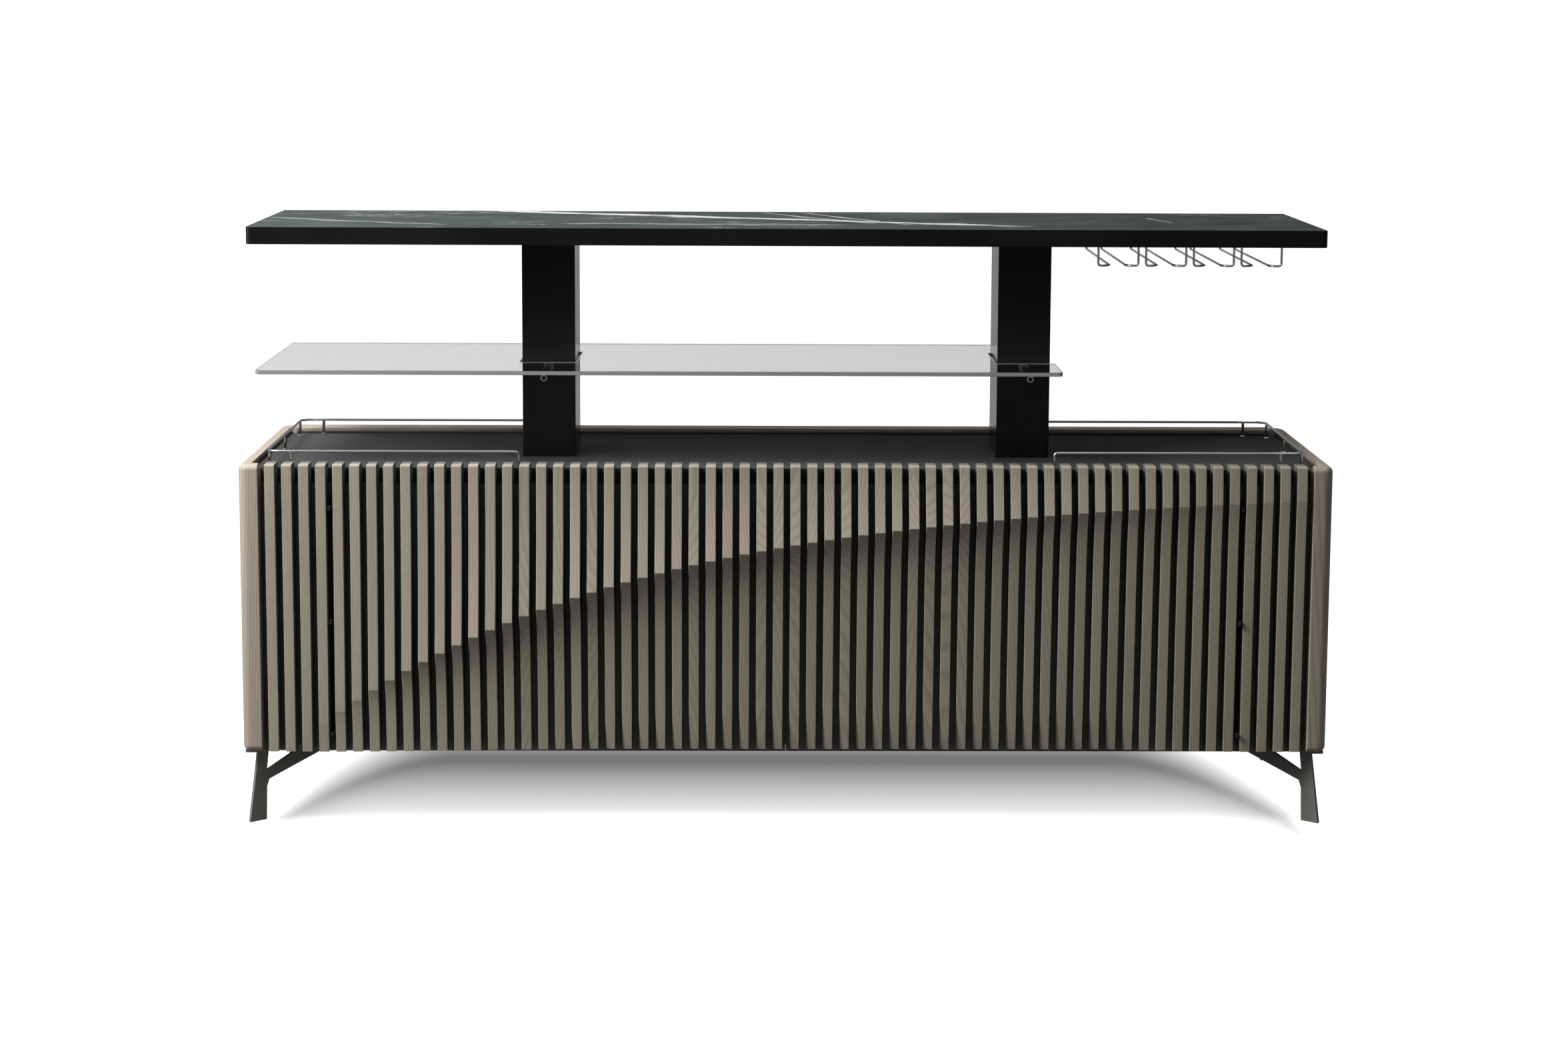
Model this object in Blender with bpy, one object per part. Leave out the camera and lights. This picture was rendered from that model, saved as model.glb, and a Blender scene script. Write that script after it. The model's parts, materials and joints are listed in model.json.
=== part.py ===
"""Bar sideboard: a slatted two-door cabinet that carries a bar counter on two columns.

Metres, +Z up. X runs along the front, the front faces -Y, and the floor is at zero height.
The middle of the whole piece is over the origin. A depth below is measured from the front plane,
the plane of the side panels' front edges, towards the back.
"""

import math

import bmesh
import bpy
from mathutils import Matrix, Vector

# Clearance between two pieces that touch, and the overrun of a cut past a face
touch = 0.0003
overrun = 0.002

# Body
body_width = 2.10
body_depth = 0.51
body_bottom = 0.146
body_height = 0.562
side_thickness = 0.038
side_front_round = 0.008
side_rear_round = 0.030

# Slats, carved together into one wave
end_slat_count = 4
slat_pitch_aim = 0.0324
slat_gap_aim = 0.013
slat_width = 0.0195
slat_depth = 0.038
slat_bite = 0.001
crest_reach = 0.028
crest_drop = 0.046
crest_fall = 0.560
crest_length_share = 0.30
undercut_length = 0.042
foot_recess = 0.020
crest_rise_shares = (0.02, 0.22)
crest_fade_shares = (0.60, 1.00)
crest_fade_to_share = 0.12
recess_rise_shares = (0.12, 0.45)
recess_fade_shares = (0.80, 0.95)
recess_fade_to_share = 0.30
swell_power_shares = (2.4, 1.0)
lowest_crest = 0.006
swell_height_shares = (0.0, 0.25, 0.5, 0.7, 0.85, 0.95, 1.0)
under_height_shares = (0.04, 0.12, 0.22, 0.36, 0.6, 1.0)

# Backing sheets that the slats are glued to, and the boards behind the doors' sheets
sheet_thickness = 0.006
board_thickness = 0.012
board_inset = 0.004
panel_overhang = 0.008
panel_side_gap = 0.001
end_panel_gap = 0.008
door_back_gap = 0.001
door_top_gap = 0.0015
door_meeting_gap = 0.004

# Carcass boards
tray_drop = 0.012
tray_thickness = 0.006
sub_top_thickness = 0.022
bottom_thickness = 0.018
partition_thickness = 0.018
rail_thickness = 0.040
rail_height = 0.070
back_thickness = 0.012
back_inset = 0.004

# Shelves behind the doors and the cleats under their ends
shelf_thickness = 0.018
shelf_setback = 0.020
shelf_side_gap = 0.001
shelf_height_share = 0.5
cleat_width = 0.012
cleat_height = 0.016
cleat_end_inset = 0.030

# Hinges in the seam beside the end slats
hinge_setback = 0.0005
hinge_height_shares = (0.08, 0.50, 0.92)
eye_radius = 0.0036
arm_edge_gap = 0.0015
arm_thickness = 0.004
strip_end = 0.017
strip_thickness = 0.0025
strip_slat_gap = 0.0006
hinge_pin_radius = 0.0018

# Push latches beside the partition
latch_offset = 0.045
latch_width = 0.020
latch_length = 0.060
latch_height = 0.016
latch_front_gap = 0.0045
plunger_radius = 0.004
plunger_length = 0.045
strike_thickness = 0.0015
strike_height = 0.014

# Columns, the plates inside their ends, and the tie rod that clamps each one
column_spacing = 0.935
column_width = 0.104
column_depth = 0.155
column_wall = 0.003
column_plate_thickness = 0.006
tie_rod_radius = 0.005
tie_rod_head_radius = 0.010
tie_rod_head_height = 0.008
tie_rod_bite = 0.014

# Counter
counter_top = 1.160
counter_thickness = 0.033
counter_width = 2.065
counter_depth = 0.444
counter_corner = 0.010
counter_lip = 0.003
slab_thickness = 0.010

# Glass shelf and the turned arms that carry it
glass_top = 0.885
glass_thickness = 0.008
glass_left_reach = 1.020
glass_right_reach = 0.530
glass_depth = 0.440
glass_column_gap = 0.004
arm_radius = 0.00625
arm_end_inset = 0.007
arm_chamfer = 0.001
collar_radius = 0.010
collar_thickness = 0.003
spigot_radius = 0.004
spigot_length = 0.010

# Gallery rails on the tray
gallery_height = 0.0305
gallery_wire_radius = 0.0025
gallery_bend = 0.006
gallery_corner = 0.020
gallery_side_inset = 0.012
gallery_front_inset = 0.002
gallery_back_inset = 0.015
gallery_post_offset = 0.045
gallery_side_post_offset = 0.024
post_radius = 0.003
post_bite = 0.0013
post_foot_radius = 0.006
post_foot_height = 0.002

# Stemware rack under the counter
stemware_count = 4
stemware_pitch = 0.0918
stemware_end_inset = 0.1231
stemware_width = 0.077
stemware_slot = 0.031
stemware_drop = 0.037
stemware_front = 0.055
stemware_back = 0.430
stemware_wire_radius = 0.0022
stemware_small_bend = 0.005
stemware_large_bend = 0.017
stemware_insert = 0.006

# Legs: flat blades cut to a Y
leg_thickness = 0.008
leg_span = 0.239
leg_angle = math.radians(39)
leg_side_inset = 0.0075
leg_face_inset = 0.019
leg_plate_thickness = 0.006
side_plate_width = 0.033
side_plate_depth = 0.046
base_plate_width = 0.120
base_plate_depth = 0.090
stud_edge = 0.008
stud_radius = 0.003
stud_length = 0.014
# The Y's outline: shares of the leg's span and of its height
leg_outline_shares = (
    (0.0, 0.0), (0.151, 0.0), (0.159, 0.46), (0.181, 0.559), (1.0, 1.0),
    (0.582, 1.0), (0.159, 0.685), (0.182, 1.0), (0.086, 1.0),
)
upright_middle_share = 0.134
branch_middle_share = 0.791

# Fineness of round forms
fine_sides = 16
small_sides = 10
wire_sides = 8
bend_steps = 4
round_steps = 4

# Places worked out from the sizes
body_top = body_bottom + body_height
half_width = body_width / 2
inner_half = half_width - side_thickness
# An even number of slats, so that the two doors take as many each
slat_count = 2 * round((inner_half - slat_gap_aim / 2) / slat_pitch_aim)
slat_gap = (2 * inner_half - slat_count * slat_width) / (slat_count + 1)
slat_pitch = slat_width + slat_gap
seam_x = inner_half - end_slat_count * slat_pitch - slat_gap / 2
tray_surface = body_top - tray_drop
sub_top_top = tray_surface - tray_thickness - touch
sub_top_bottom = sub_top_top - sub_top_thickness
panel_bottom = body_bottom - panel_overhang
panel_top = sub_top_bottom - door_top_gap
floor_top = body_bottom + bottom_thickness
rail_bottom = body_top - rail_height
counter_bottom = counter_top - counter_thickness
stemware_first = counter_width / 2 - stemware_end_inset - (stemware_count - 1) * stemware_pitch


def smooth_step(value, start, end):
    """Rise from 0 to 1 between start and end, level at both ends."""
    share = min(max((value - start) / (end - start), 0.0), 1.0)
    return share * share * (3 - 2 * share)


def crest_height(along):
    """Height of the wave's crest at a share of the front's length."""
    return body_top - crest_drop - crest_fall * math.exp(-along / crest_length_share)


def relief(along, height):
    """How far the slats stand out of the front plane there."""
    crest = crest_height(along)
    fade = 1 - (1 - crest_fade_to_share) * smooth_step(along, *crest_fade_shares)
    reach = crest_reach * smooth_step(along, *crest_rise_shares) * fade
    if height >= crest:
        start_power, end_power = swell_power_shares
        power = start_power + (end_power - start_power) * along
        return reach * ((body_top - height) / (body_top - crest)) ** power
    recess_fade = 1 - (1 - recess_fade_to_share) * smooth_step(along, *recess_fade_shares)
    recess = foot_recess * smooth_step(along, *recess_rise_shares) * recess_fade
    below = crest - height
    slope = recess * below / (crest - body_bottom)
    return reach * math.exp(-below / undercut_length) - slope


def slat_edge(x):
    """Height and relief of the points down one front edge of a slat."""
    along = (x + inner_half) / (2 * inner_half)
    crest = max(crest_height(along), body_bottom + lowest_crest)
    heights = [body_top - (body_top - crest) * share for share in swell_height_shares]
    heights += [crest - (crest - body_bottom) * share for share in under_height_shares]
    return [(height, relief(along, height)) for height in heights]


slat_starts = [slat_gap - inner_half + slat_pitch * number for number in range(slat_count)]
slat_edges = {x: slat_edge(x) for start in slat_starts for x in (start, start + slat_width)}
front_reach = max(reach for edge in slat_edges.values() for _, reach in edge)
front = (front_reach - body_depth) / 2
back = front + body_depth
middle = (front + back) / 2

panel_front = front + slat_depth
sheet_back = panel_front + sheet_thickness
board_back = sheet_back + touch + board_thickness
carcass_front = board_back + door_back_gap
top_front = panel_front + slat_bite + door_back_gap
rail_front = back - rail_thickness
back_panel_back = back - back_inset
back_panel_front = back_panel_back - back_thickness
hinge_y = front + hinge_setback
arm_height = glass_top - glass_thickness - touch - arm_radius


def material(name, color, roughness, metallic=0.0, transmission=0.0):
    """A plain Principled material."""
    made = bpy.data.materials.new(name)
    made.use_nodes = True
    shader = made.node_tree.nodes["Principled BSDF"]
    shader.inputs["Base Color"].default_value = (*color, 1.0)
    shader.inputs["Roughness"].default_value = roughness
    shader.inputs["Metallic"].default_value = metallic
    shader.inputs["Transmission Weight"].default_value = transmission
    made.diffuse_color = (*color, 1.0)
    return made


def mesh_of(name, bm):
    """The modelled faces, turned outwards, as a mesh."""
    bmesh.ops.recalc_face_normals(bm, faces=bm.faces)
    mesh = bpy.data.meshes.new(name)
    bm.to_mesh(mesh)
    bm.free()
    return mesh


def finish(name, bm, kind, parent=None, smooth=False):
    """Make the object of that name, on its joint's empty if it moves."""
    mesh = mesh_of(name, bm)
    if smooth:
        mesh.shade_smooth()
        mesh.set_sharp_from_angle(angle=math.radians(40))
    mesh.materials.append(kind)
    made = bpy.data.objects.new(name, mesh)
    bpy.context.scene.collection.objects.link(made)
    if parent:
        made.parent = parent
        made.matrix_parent_inverse = Matrix.Translation(-parent.location)
    return made


def axis_empty(name, location):
    """An empty on a joint's axis."""
    empty = bpy.data.objects.new(name, None)
    empty.location = location
    bpy.context.scene.collection.objects.link(empty)
    return empty


def combine(target, name, bm, operation):
    """Add the closed shapes in bm to the target, or take them away from it."""
    helper = bpy.data.objects.new(name, mesh_of(name, bm))
    bpy.context.scene.collection.objects.link(helper)
    helper.hide_render = True
    helper.display_type = "WIRE"
    boolean = target.modifiers.new(name, "BOOLEAN")
    boolean.operation = operation
    boolean.object = helper


def loft(bm, rings):
    """Skin closed rings of equal length in order and cap both ends."""
    rows = [[bm.verts.new(point) for point in ring] for ring in rings]
    bridge(bm, zip(rows, rows[1:]))
    bm.faces.new(rows[0])
    bm.faces.new(rows[-1])


def bridge(bm, pairs):
    """Skin each pair of closed rows of vertices."""
    for lower, upper in pairs:
        for this in range(len(lower)):
            after = (this + 1) % len(lower)
            bm.faces.new((lower[this], lower[after], upper[after], upper[this]))


def add_box(bm, low, high):
    """A box between two corners."""
    (x0, y0, z0), (x1, y1, z1) = low, high
    loft(bm, [[(x0, y0, z), (x1, y0, z), (x1, y1, z), (x0, y1, z)] for z in (z0, z1)])


def add_prism(bm, outline, low, high):
    """An upright prism over an outline in X and Y."""
    loft(bm, [[(x, y, z) for x, y in outline] for z in (low, high)])


def add_turned(bm, start, direction, profile, sides=small_sides):
    """A solid of revolution: profile gives (distance along the axis, radius) from end to end."""
    turn = Vector((0, 0, 1)).rotation_difference(Vector(direction)).to_matrix()
    angles = [2 * math.pi * number / sides for number in range(sides)]
    rings = []
    for distance, radius in profile:
        ring = [Vector((radius * math.cos(a), radius * math.sin(a), distance)) for a in angles]
        rings.append([Vector(start) + turn @ point for point in ring])
    loft(bm, rings)


def add_cylinder(bm, start, direction, length, radius, sides=small_sides):
    """A plain cylinder."""
    add_turned(bm, start, direction, ((0, radius), (length, radius)), sides)


def add_wire(bm, path, radius):
    """A round wire along a path. Each ring stands square to the run and twists no further."""
    ends = [path[0]] + path + [path[-1]]
    runs = [(after - before).normalized() for before, after in zip(ends, ends[2:])]
    across = runs[0].orthogonal().normalized()
    angles = [2 * math.pi * number / wire_sides for number in range(wire_sides)]
    rings = []
    before = runs[0]
    for point, run in zip(path, runs):
        across = before.rotation_difference(run) @ across
        other = run.cross(across)
        rings.append([point + (across * math.cos(a) + other * math.sin(a)) * radius
                      for a in angles])
        before = run
    loft(bm, rings)


def box_object(name, low, high, kind, parent=None):
    """One box as an object."""
    bm = bmesh.new()
    add_box(bm, low, high)
    return finish(name, bm, kind, parent)


def corner_arc(centre, radius, start_degrees):
    """A quarter circle of points, anticlockwise from the start angle."""
    angles = [math.radians(start_degrees + 90 * step / round_steps)
              for step in range(round_steps + 1)]
    return [(centre[0] + radius * math.cos(a), centre[1] + radius * math.sin(a)) for a in angles]


def rounded_rectangle(half_x, half_y, radius):
    """Anticlockwise outline, about the middle, of a rectangle with round corners."""
    x = half_x - radius
    y = half_y - radius
    points = corner_arc((x, middle - y), radius, -90) + corner_arc((x, middle + y), radius, 0)
    points += corner_arc((-x, middle + y), radius, 90)
    return points + corner_arc((-x, middle - y), radius, 180)


def bent_path(corners, radii):
    """Points along straight runs whose inner corners are rounded to the given radii."""
    points = [Vector(corners[0])]
    for before, here, after, radius in zip(corners, corners[1:], corners[2:], radii):
        here = Vector(here)
        to_before = (Vector(before) - here).normalized()
        to_after = (Vector(after) - here).normalized()
        half = to_before.angle(to_after) / 2
        centre = here + (to_before + to_after).normalized() * radius / math.sin(half)
        first = here + to_before * radius / math.tan(half) - centre
        last = here + to_after * radius / math.tan(half) - centre
        sweep = first.angle(last)
        for step in range(bend_steps + 1):
            share = step / bend_steps
            mixed = first * math.sin((1 - share) * sweep) + last * math.sin(share * sweep)
            points.append(centre + mixed / math.sin(sweep))
    return points + [Vector(corners[-1])]


def mirrored_box(side, x_low, x_high, y_low, y_high, z_low, z_high):
    """Corners of a box whose X distances from the middle are on one side, -1 left or 1 right."""
    xs = sorted((side * x_low, side * x_high))
    return (xs[0], y_low, z_low), (xs[1], y_high, z_high)


def leg_point(side, face, share):
    """A point on a leg's centre line at a share of its span. face is -1 at the front, 1 behind."""
    distance = leg_span * share
    x = side * (half_width - leg_side_inset - distance * math.cos(leg_angle))
    edge = front + leg_face_inset if face < 0 else back - leg_face_inset
    return x, edge - face * distance * math.sin(leg_angle)


def leg_plates(side, face):
    """The middle and half sizes of a leg's two plates: under the side panel, and further in."""
    _, y = leg_point(side, face, upright_middle_share)
    under_side = (side * (half_width - side_thickness / 2), y)
    return ((under_side, (side_plate_width / 2, side_plate_depth / 2)),
            (leg_point(side, face, branch_middle_share),
             (base_plate_width / 2, base_plate_depth / 2)))


def plate_studs(side, face, plate):
    """Where a plate's two studs stand, in opposite corners."""
    (x, y), (half_x, half_y) = plate
    return [(x + turn * side * (half_x - stud_edge), y - turn * face * (half_y - stud_edge))
            for turn in (-1, 1)]


def cut_stud_holes(board, name, number):
    """Holes from below for the studs of the plates with that number in each leg's pair."""
    holes = bmesh.new()
    sides = (-1, 1) if number else (math.copysign(1, board.data.vertices[0].co.x),)
    for side in sides:
        for face in (-1, 1):
            for x, y in plate_studs(side, face, leg_plates(side, face)[number]):
                add_cylinder(holes, (x, y, body_bottom - overrun), (0, 0, 1),
                             overrun + stud_length, stud_radius + touch)
    combine(board, name, holes, "DIFFERENCE")


def build_side_panel(side, label, wood):
    """A side panel with its vertical edges rounded, and holes for the legs' studs."""
    front_x = half_width - side_front_round
    rear_x = half_width - side_rear_round
    near = [(inner_half, front)] + corner_arc((front_x, front + side_front_round),
                                              side_front_round, -90)
    near += corner_arc((rear_x, back - side_rear_round), side_rear_round, 0)
    near.append((inner_half, back))
    bm = bmesh.new()
    add_prism(bm, [(side * x, y) for x, y in near], body_bottom, body_top)
    panel = finish(f"side_panel_{label}", bm, wood)
    cut_stud_holes(panel, f"side_holes_{label}", 0)


def build_carcass(wood, black, glass_black):
    """Rim, back, floor, partition, sub-top and tray between the side panels."""
    build_side_panel(-1, "left", wood)
    build_side_panel(1, "right", wood)
    wide = inner_half - touch
    box_object("back_rail", (-wide, rail_front, rail_bottom), (wide, back, body_top), wood)
    box_object("back_panel", (-wide, back_panel_front, body_bottom),
               (wide, back_panel_back, rail_bottom - touch), black)
    floor = box_object("bottom_panel", (-wide, carcass_front, body_bottom),
                       (wide, back_panel_front - touch, floor_top), black)
    cut_stud_holes(floor, "floor_holes", 1)

    boards = (("sub_top", sub_top_bottom, sub_top_top, black),
              ("tray_top", sub_top_top + touch, tray_surface, glass_black))
    for name, low, high, kind in boards:
        board = box_object(name, (-wide, top_front, low), (wide, rail_front - touch, high), kind)
        holes = bmesh.new()
        for side in (-1, 1):
            add_cylinder(holes, (side * column_spacing / 2, middle, low - overrun), (0, 0, 1),
                         high - low + 2 * overrun, tie_rod_radius + touch)
        combine(board, f"{name}_holes", holes, "DIFFERENCE")

    # The partition steps forward round the back rail
    low = floor_top + touch
    high = sub_top_bottom - touch
    step = rail_bottom - touch
    deep = back_panel_front - touch
    shallow = rail_front - touch
    outline = [(carcass_front, low), (deep, low), (deep, step), (shallow, step),
               (shallow, high), (carcass_front, high)]
    bm = bmesh.new()
    half = partition_thickness / 2
    loft(bm, [[(x, y, z) for y, z in outline] for x in (-half, half)])
    finish("centre_partition", bm, black)


def build_shelves(black):
    """One shelf a compartment, on a cleat at each end."""
    low = floor_top + (sub_top_bottom - floor_top - shelf_thickness) * shelf_height_share
    near = carcass_front + shelf_setback
    far = back_panel_front - touch
    inner = partition_thickness / 2
    for side, label in ((-1, "left"), (1, "right")):
        corners = mirrored_box(side, inner + shelf_side_gap, inner_half - shelf_side_gap,
                               near, far, low, low + shelf_thickness)
        box_object(f"shelf_{label}", *corners, black)
        for start, place in ((inner + touch, "inner"),
                             (inner_half - touch - cleat_width, "outer")):
            corners = mirrored_box(side, start, start + cleat_width, near + cleat_end_inset,
                                   far - cleat_end_inset, low - touch - cleat_height, low - touch)
            box_object(f"shelf_cleat_{place}_{label}", *corners, black)


def add_slat(bm, start):
    """One slat: its carved front skinned between its two edges, with a flat back."""
    back_y = panel_front + slat_bite
    rings = []
    for x in (start, start + slat_width):
        edge = slat_edges[x]
        ring = [(x, front - reach, height) for height, reach in edge]
        ring += [(x, back_y, edge[-1][0]), (x, back_y, edge[0][0])]
        rings.append(ring)
    loft(bm, rings)


def slats_object(name, sheet, first, last, wood, parent=None):
    """The slats from number first up to, but without, number last, fast on their thin sheet."""
    made = box_object(name, *sheet, wood, parent)
    bm = bmesh.new()
    for start in slat_starts[first:last]:
        add_slat(bm, start)
    combine(made, f"{name}_strips", bm, "UNION")


def build_fronts(wood, black, steel):
    """The fixed ends and the doors: slats on sheets, boards behind them, hinges and strikes."""
    ends = end_slat_count
    halfway = slat_count // 2
    groups = {-1: ((0, ends), (ends, halfway)),
              1: ((slat_count - ends, slat_count), (halfway, slat_count - ends))}
    sheet_depths = (panel_front, sheet_back)
    board_low = panel_bottom + board_inset
    meeting = door_meeting_gap / 2
    for side, label in ((-1, "left"), (1, "right")):
        axis = axis_empty(f"door_axis_{label}", (side * seam_x, hinge_y, 0))
        fixed, moving = groups[side]
        start, end = seam_x + panel_side_gap, inner_half - end_panel_gap
        sheet = mirrored_box(side, start, end, *sheet_depths, panel_bottom, panel_top)
        slats_object(f"end_slats_{label}", sheet, *fixed, wood)
        board = mirrored_box(side, start + board_inset, end, sheet_back + touch,
                             carcass_front - touch, board_low, sub_top_bottom - touch)
        box_object(f"end_panel_{label}", *board, black)

        start, end = meeting, seam_x - panel_side_gap
        sheet = mirrored_box(side, start, end, *sheet_depths, panel_bottom, panel_top)
        slats_object(f"door_slats_{label}", sheet, *moving, wood, axis)
        board = mirrored_box(side, start + board_inset, end - board_inset, sheet_back + touch,
                             board_back, board_low, panel_top)
        box_object(f"door_panel_{label}", *board, black, axis)
        build_hinge(side, label, black, axis)

        strike = mirrored_box(side, latch_offset - latch_width / 2, latch_offset + latch_width / 2,
                              board_back + touch, board_back + touch + strike_thickness,
                              panel_top - strike_height, panel_top)
        box_object(f"latch_strike_{label}", *strike, steel, axis)


def add_arm(bm, side, facing, low):
    """A hinge arm: the eye round the axis, and from it a bar back into the leaf's strip.

    facing is 1 for the arm on the end panel's side of the seam, and -1 for the door's.
    """
    first = math.acos(arm_edge_gap / eye_radius)
    angles = [first + (2 * math.pi - first) * step / small_sides
              for step in range(small_sides + 1)]
    points = [(eye_radius * math.cos(a), eye_radius * math.sin(a)) for a in angles]
    rear = panel_front - touch - strip_thickness / 2 - hinge_y
    points += [(eye_radius, rear), (arm_edge_gap, rear)]
    outline = [(side * (seam_x + facing * x), hinge_y + y) for x, y in points]
    add_prism(bm, outline, low, low + arm_thickness)


def build_hinge(side, label, black, axis):
    """A lift-off hinge: pins stand on the fixed leaf's arms, and the door's eyes drop over them."""
    height = panel_top - panel_bottom
    levels = [panel_bottom + height * share for share in hinge_height_shares]
    strip_low = levels[0] - strip_end
    strip_high = levels[-1] + strip_end
    for facing, name, parent in ((1, f"hinge_leaf_fixed_{label}", None),
                                 (-1, f"hinge_leaf_door_{label}", axis)):
        edges = sorted(side * (seam_x + facing * x)
                       for x in (panel_side_gap, slat_gap / 2 - strip_slat_gap))
        leaf = box_object(name, (edges[0], panel_front - touch - strip_thickness, strip_low),
                          (edges[1], panel_front - touch, strip_high), black, parent)
        arms = bmesh.new()
        for level in levels:
            low = level - touch / 2 - arm_thickness if facing > 0 else level + touch / 2
            add_arm(arms, side, facing, low)
        combine(leaf, f"{name}_arms", arms, "UNION")
        rounds = bmesh.new()
        for level in levels:
            start = (side * seam_x, hinge_y, level - arm_thickness / 2)
            if facing > 0:
                add_cylinder(rounds, start, (0, 0, 1), 3 * arm_thickness / 2, hinge_pin_radius)
            else:
                add_cylinder(rounds, start, (0, 0, 1), 2 * arm_thickness,
                             hinge_pin_radius + touch)
        combine(leaf, f"{name}_rounds", rounds, "UNION" if facing > 0 else "DIFFERENCE")


def build_latches(plastic):
    """Push latches under the sub-top: a bored body and its plunger, which meets the strike."""
    top = sub_top_bottom - touch
    z = top - latch_height / 2
    tip = board_back + touch + strike_thickness + touch
    face = tip + latch_front_gap
    for side, label in ((-1, "left"), (1, "right")):
        x = side * latch_offset
        body = box_object(f"latch_body_{label}", (x - latch_width / 2, face, top - latch_height),
                          (x + latch_width / 2, face + latch_length, top), plastic)
        bore = bmesh.new()
        add_cylinder(bore, (x, face - overrun, z), (0, 1, 0),
                     overrun + plunger_length - latch_front_gap + touch, plunger_radius + touch)
        combine(body, f"latch_bore_{label}", bore, "DIFFERENCE")
        axis = axis_empty(f"plunger_axis_{label}", (x, tip, z))
        bm = bmesh.new()
        add_cylinder(bm, (x, tip, z), (0, 1, 0), plunger_length, plunger_radius)
        finish(f"latch_plunger_{label}", bm, plastic, axis, smooth=True)


def add_square_tube(bm, x, half_x, half_y, low, high):
    """An upright rectangular tube, open at both ends."""
    rows = []
    for inset, z in ((0, low), (0, high), (column_wall, high), (column_wall, low)):
        w, d = half_x - inset, half_y - inset
        corners = ((x - w, -d), (x + w, -d), (x + w, d), (x - w, d))
        rows.append([bm.verts.new((along, middle + deep, z)) for along, deep in corners])
    bridge(bm, zip(rows, rows[1:] + rows[:1]))


def build_columns(gloss, steel, chrome):
    """Rectangular tubes over plates, each clamped by a rod, with arms for the glass shelf."""
    low = tray_surface + touch
    high = counter_bottom - touch
    half_x = column_width / 2
    half_y = column_depth / 2
    w = half_x - column_wall - touch
    d = half_y - column_wall - touch
    for side, label in ((-1, "left"), (1, "right")):
        x = side * column_spacing / 2
        bm = bmesh.new()
        add_square_tube(bm, x, half_x, half_y, low, high)
        tube = finish(f"column_{label}", bm, gloss)
        holes = bmesh.new()
        for face in (-1, 1):
            start = (x, middle + face * (half_y + overrun), arm_height)
            add_cylinder(holes, start, (0, -face, 0), column_wall + 2 * overrun,
                         spigot_radius + touch)
        combine(tube, f"column_holes_{label}", holes, "DIFFERENCE")
        for place, bottom in (("foot", low), ("head", high - column_plate_thickness)):
            plate = box_object(f"column_{place}_plate_{label}", (x - w, middle - d, bottom),
                               (x + w, middle + d, bottom + column_plate_thickness), steel)
            hole = bmesh.new()
            add_cylinder(hole, (x, middle, bottom - overrun), (0, 0, 1),
                         column_plate_thickness + 2 * overrun, tie_rod_radius + touch)
            combine(plate, f"column_{place}_hole_{label}", hole, "DIFFERENCE")
        build_tie_rod(x, label, steel)
        for face, face_label in ((-1, "front"), (1, "back")):
            build_arm(x, face, f"shelf_arm_{face_label}_{label}", chrome)


def build_tie_rod(x, label, steel):
    """A rod from a head under the sub-top, up through the column, into the counter's core."""
    head = tie_rod_head_height
    start = sub_top_bottom - touch - head
    profile = ((0, tie_rod_head_radius), (head, tie_rod_head_radius), (head, tie_rod_radius),
               (counter_bottom + tie_rod_bite - start, tie_rod_radius))
    bm = bmesh.new()
    add_turned(bm, (x, middle, start), (0, 0, 1), profile)
    finish(f"column_tie_rod_{label}", bm, steel, smooth=True)


def build_arm(x, face, name, chrome):
    """A turned arm under the glass: a spigot in the column's wall, a collar, and the round bar."""
    start = spigot_length
    collar = start + touch + collar_thickness
    end = start + glass_depth / 2 - arm_end_inset - column_depth / 2
    profile = ((0, spigot_radius), (start + touch, spigot_radius), (start + touch, collar_radius),
               (collar, collar_radius), (collar, arm_radius), (end - arm_chamfer, arm_radius),
               (end, arm_radius - arm_chamfer))
    bm = bmesh.new()
    add_turned(bm, (x, middle + face * (column_depth / 2 - start), arm_height), (0, face, 0),
               profile, fine_sides)
    finish(name, bm, chrome, smooth=True)


def build_counter(gloss, stone):
    """A core with a thin raised lip, the slab let into it, and blind holes from below."""
    half_x = counter_width / 2
    half_y = counter_depth / 2
    outer = rounded_rectangle(half_x, half_y, counter_corner)
    inner = rounded_rectangle(half_x - counter_lip, half_y - counter_lip,
                              counter_corner - counter_lip)
    recess = counter_top - slab_thickness
    bm = bmesh.new()
    loft(bm, [[(x, y, z) for x, y in outline] for outline, z in
              ((outer, counter_bottom), (outer, counter_top), (inner, counter_top),
               (inner, recess))])
    core = finish("counter_core", bm, gloss)
    holes = bmesh.new()
    for side in (-1, 1):
        add_cylinder(holes, (side * column_spacing / 2, middle, counter_bottom - overrun),
                     (0, 0, 1), overrun + tie_rod_bite + touch, tie_rod_radius + touch)
    for path in stemware_paths():
        for end in (path[0], path[-1]):
            add_cylinder(holes, (end.x, end.y, counter_bottom - overrun), (0, 0, 1),
                         overrun + stemware_insert + touch, stemware_wire_radius + touch)
    combine(core, "counter_holes", holes, "DIFFERENCE")

    inset = counter_lip + touch
    bm = bmesh.new()
    add_prism(bm, rounded_rectangle(half_x - inset, half_y - inset, counter_corner - inset),
              recess + touch, counter_top)
    finish("counter_slab", bm, stone)


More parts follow.
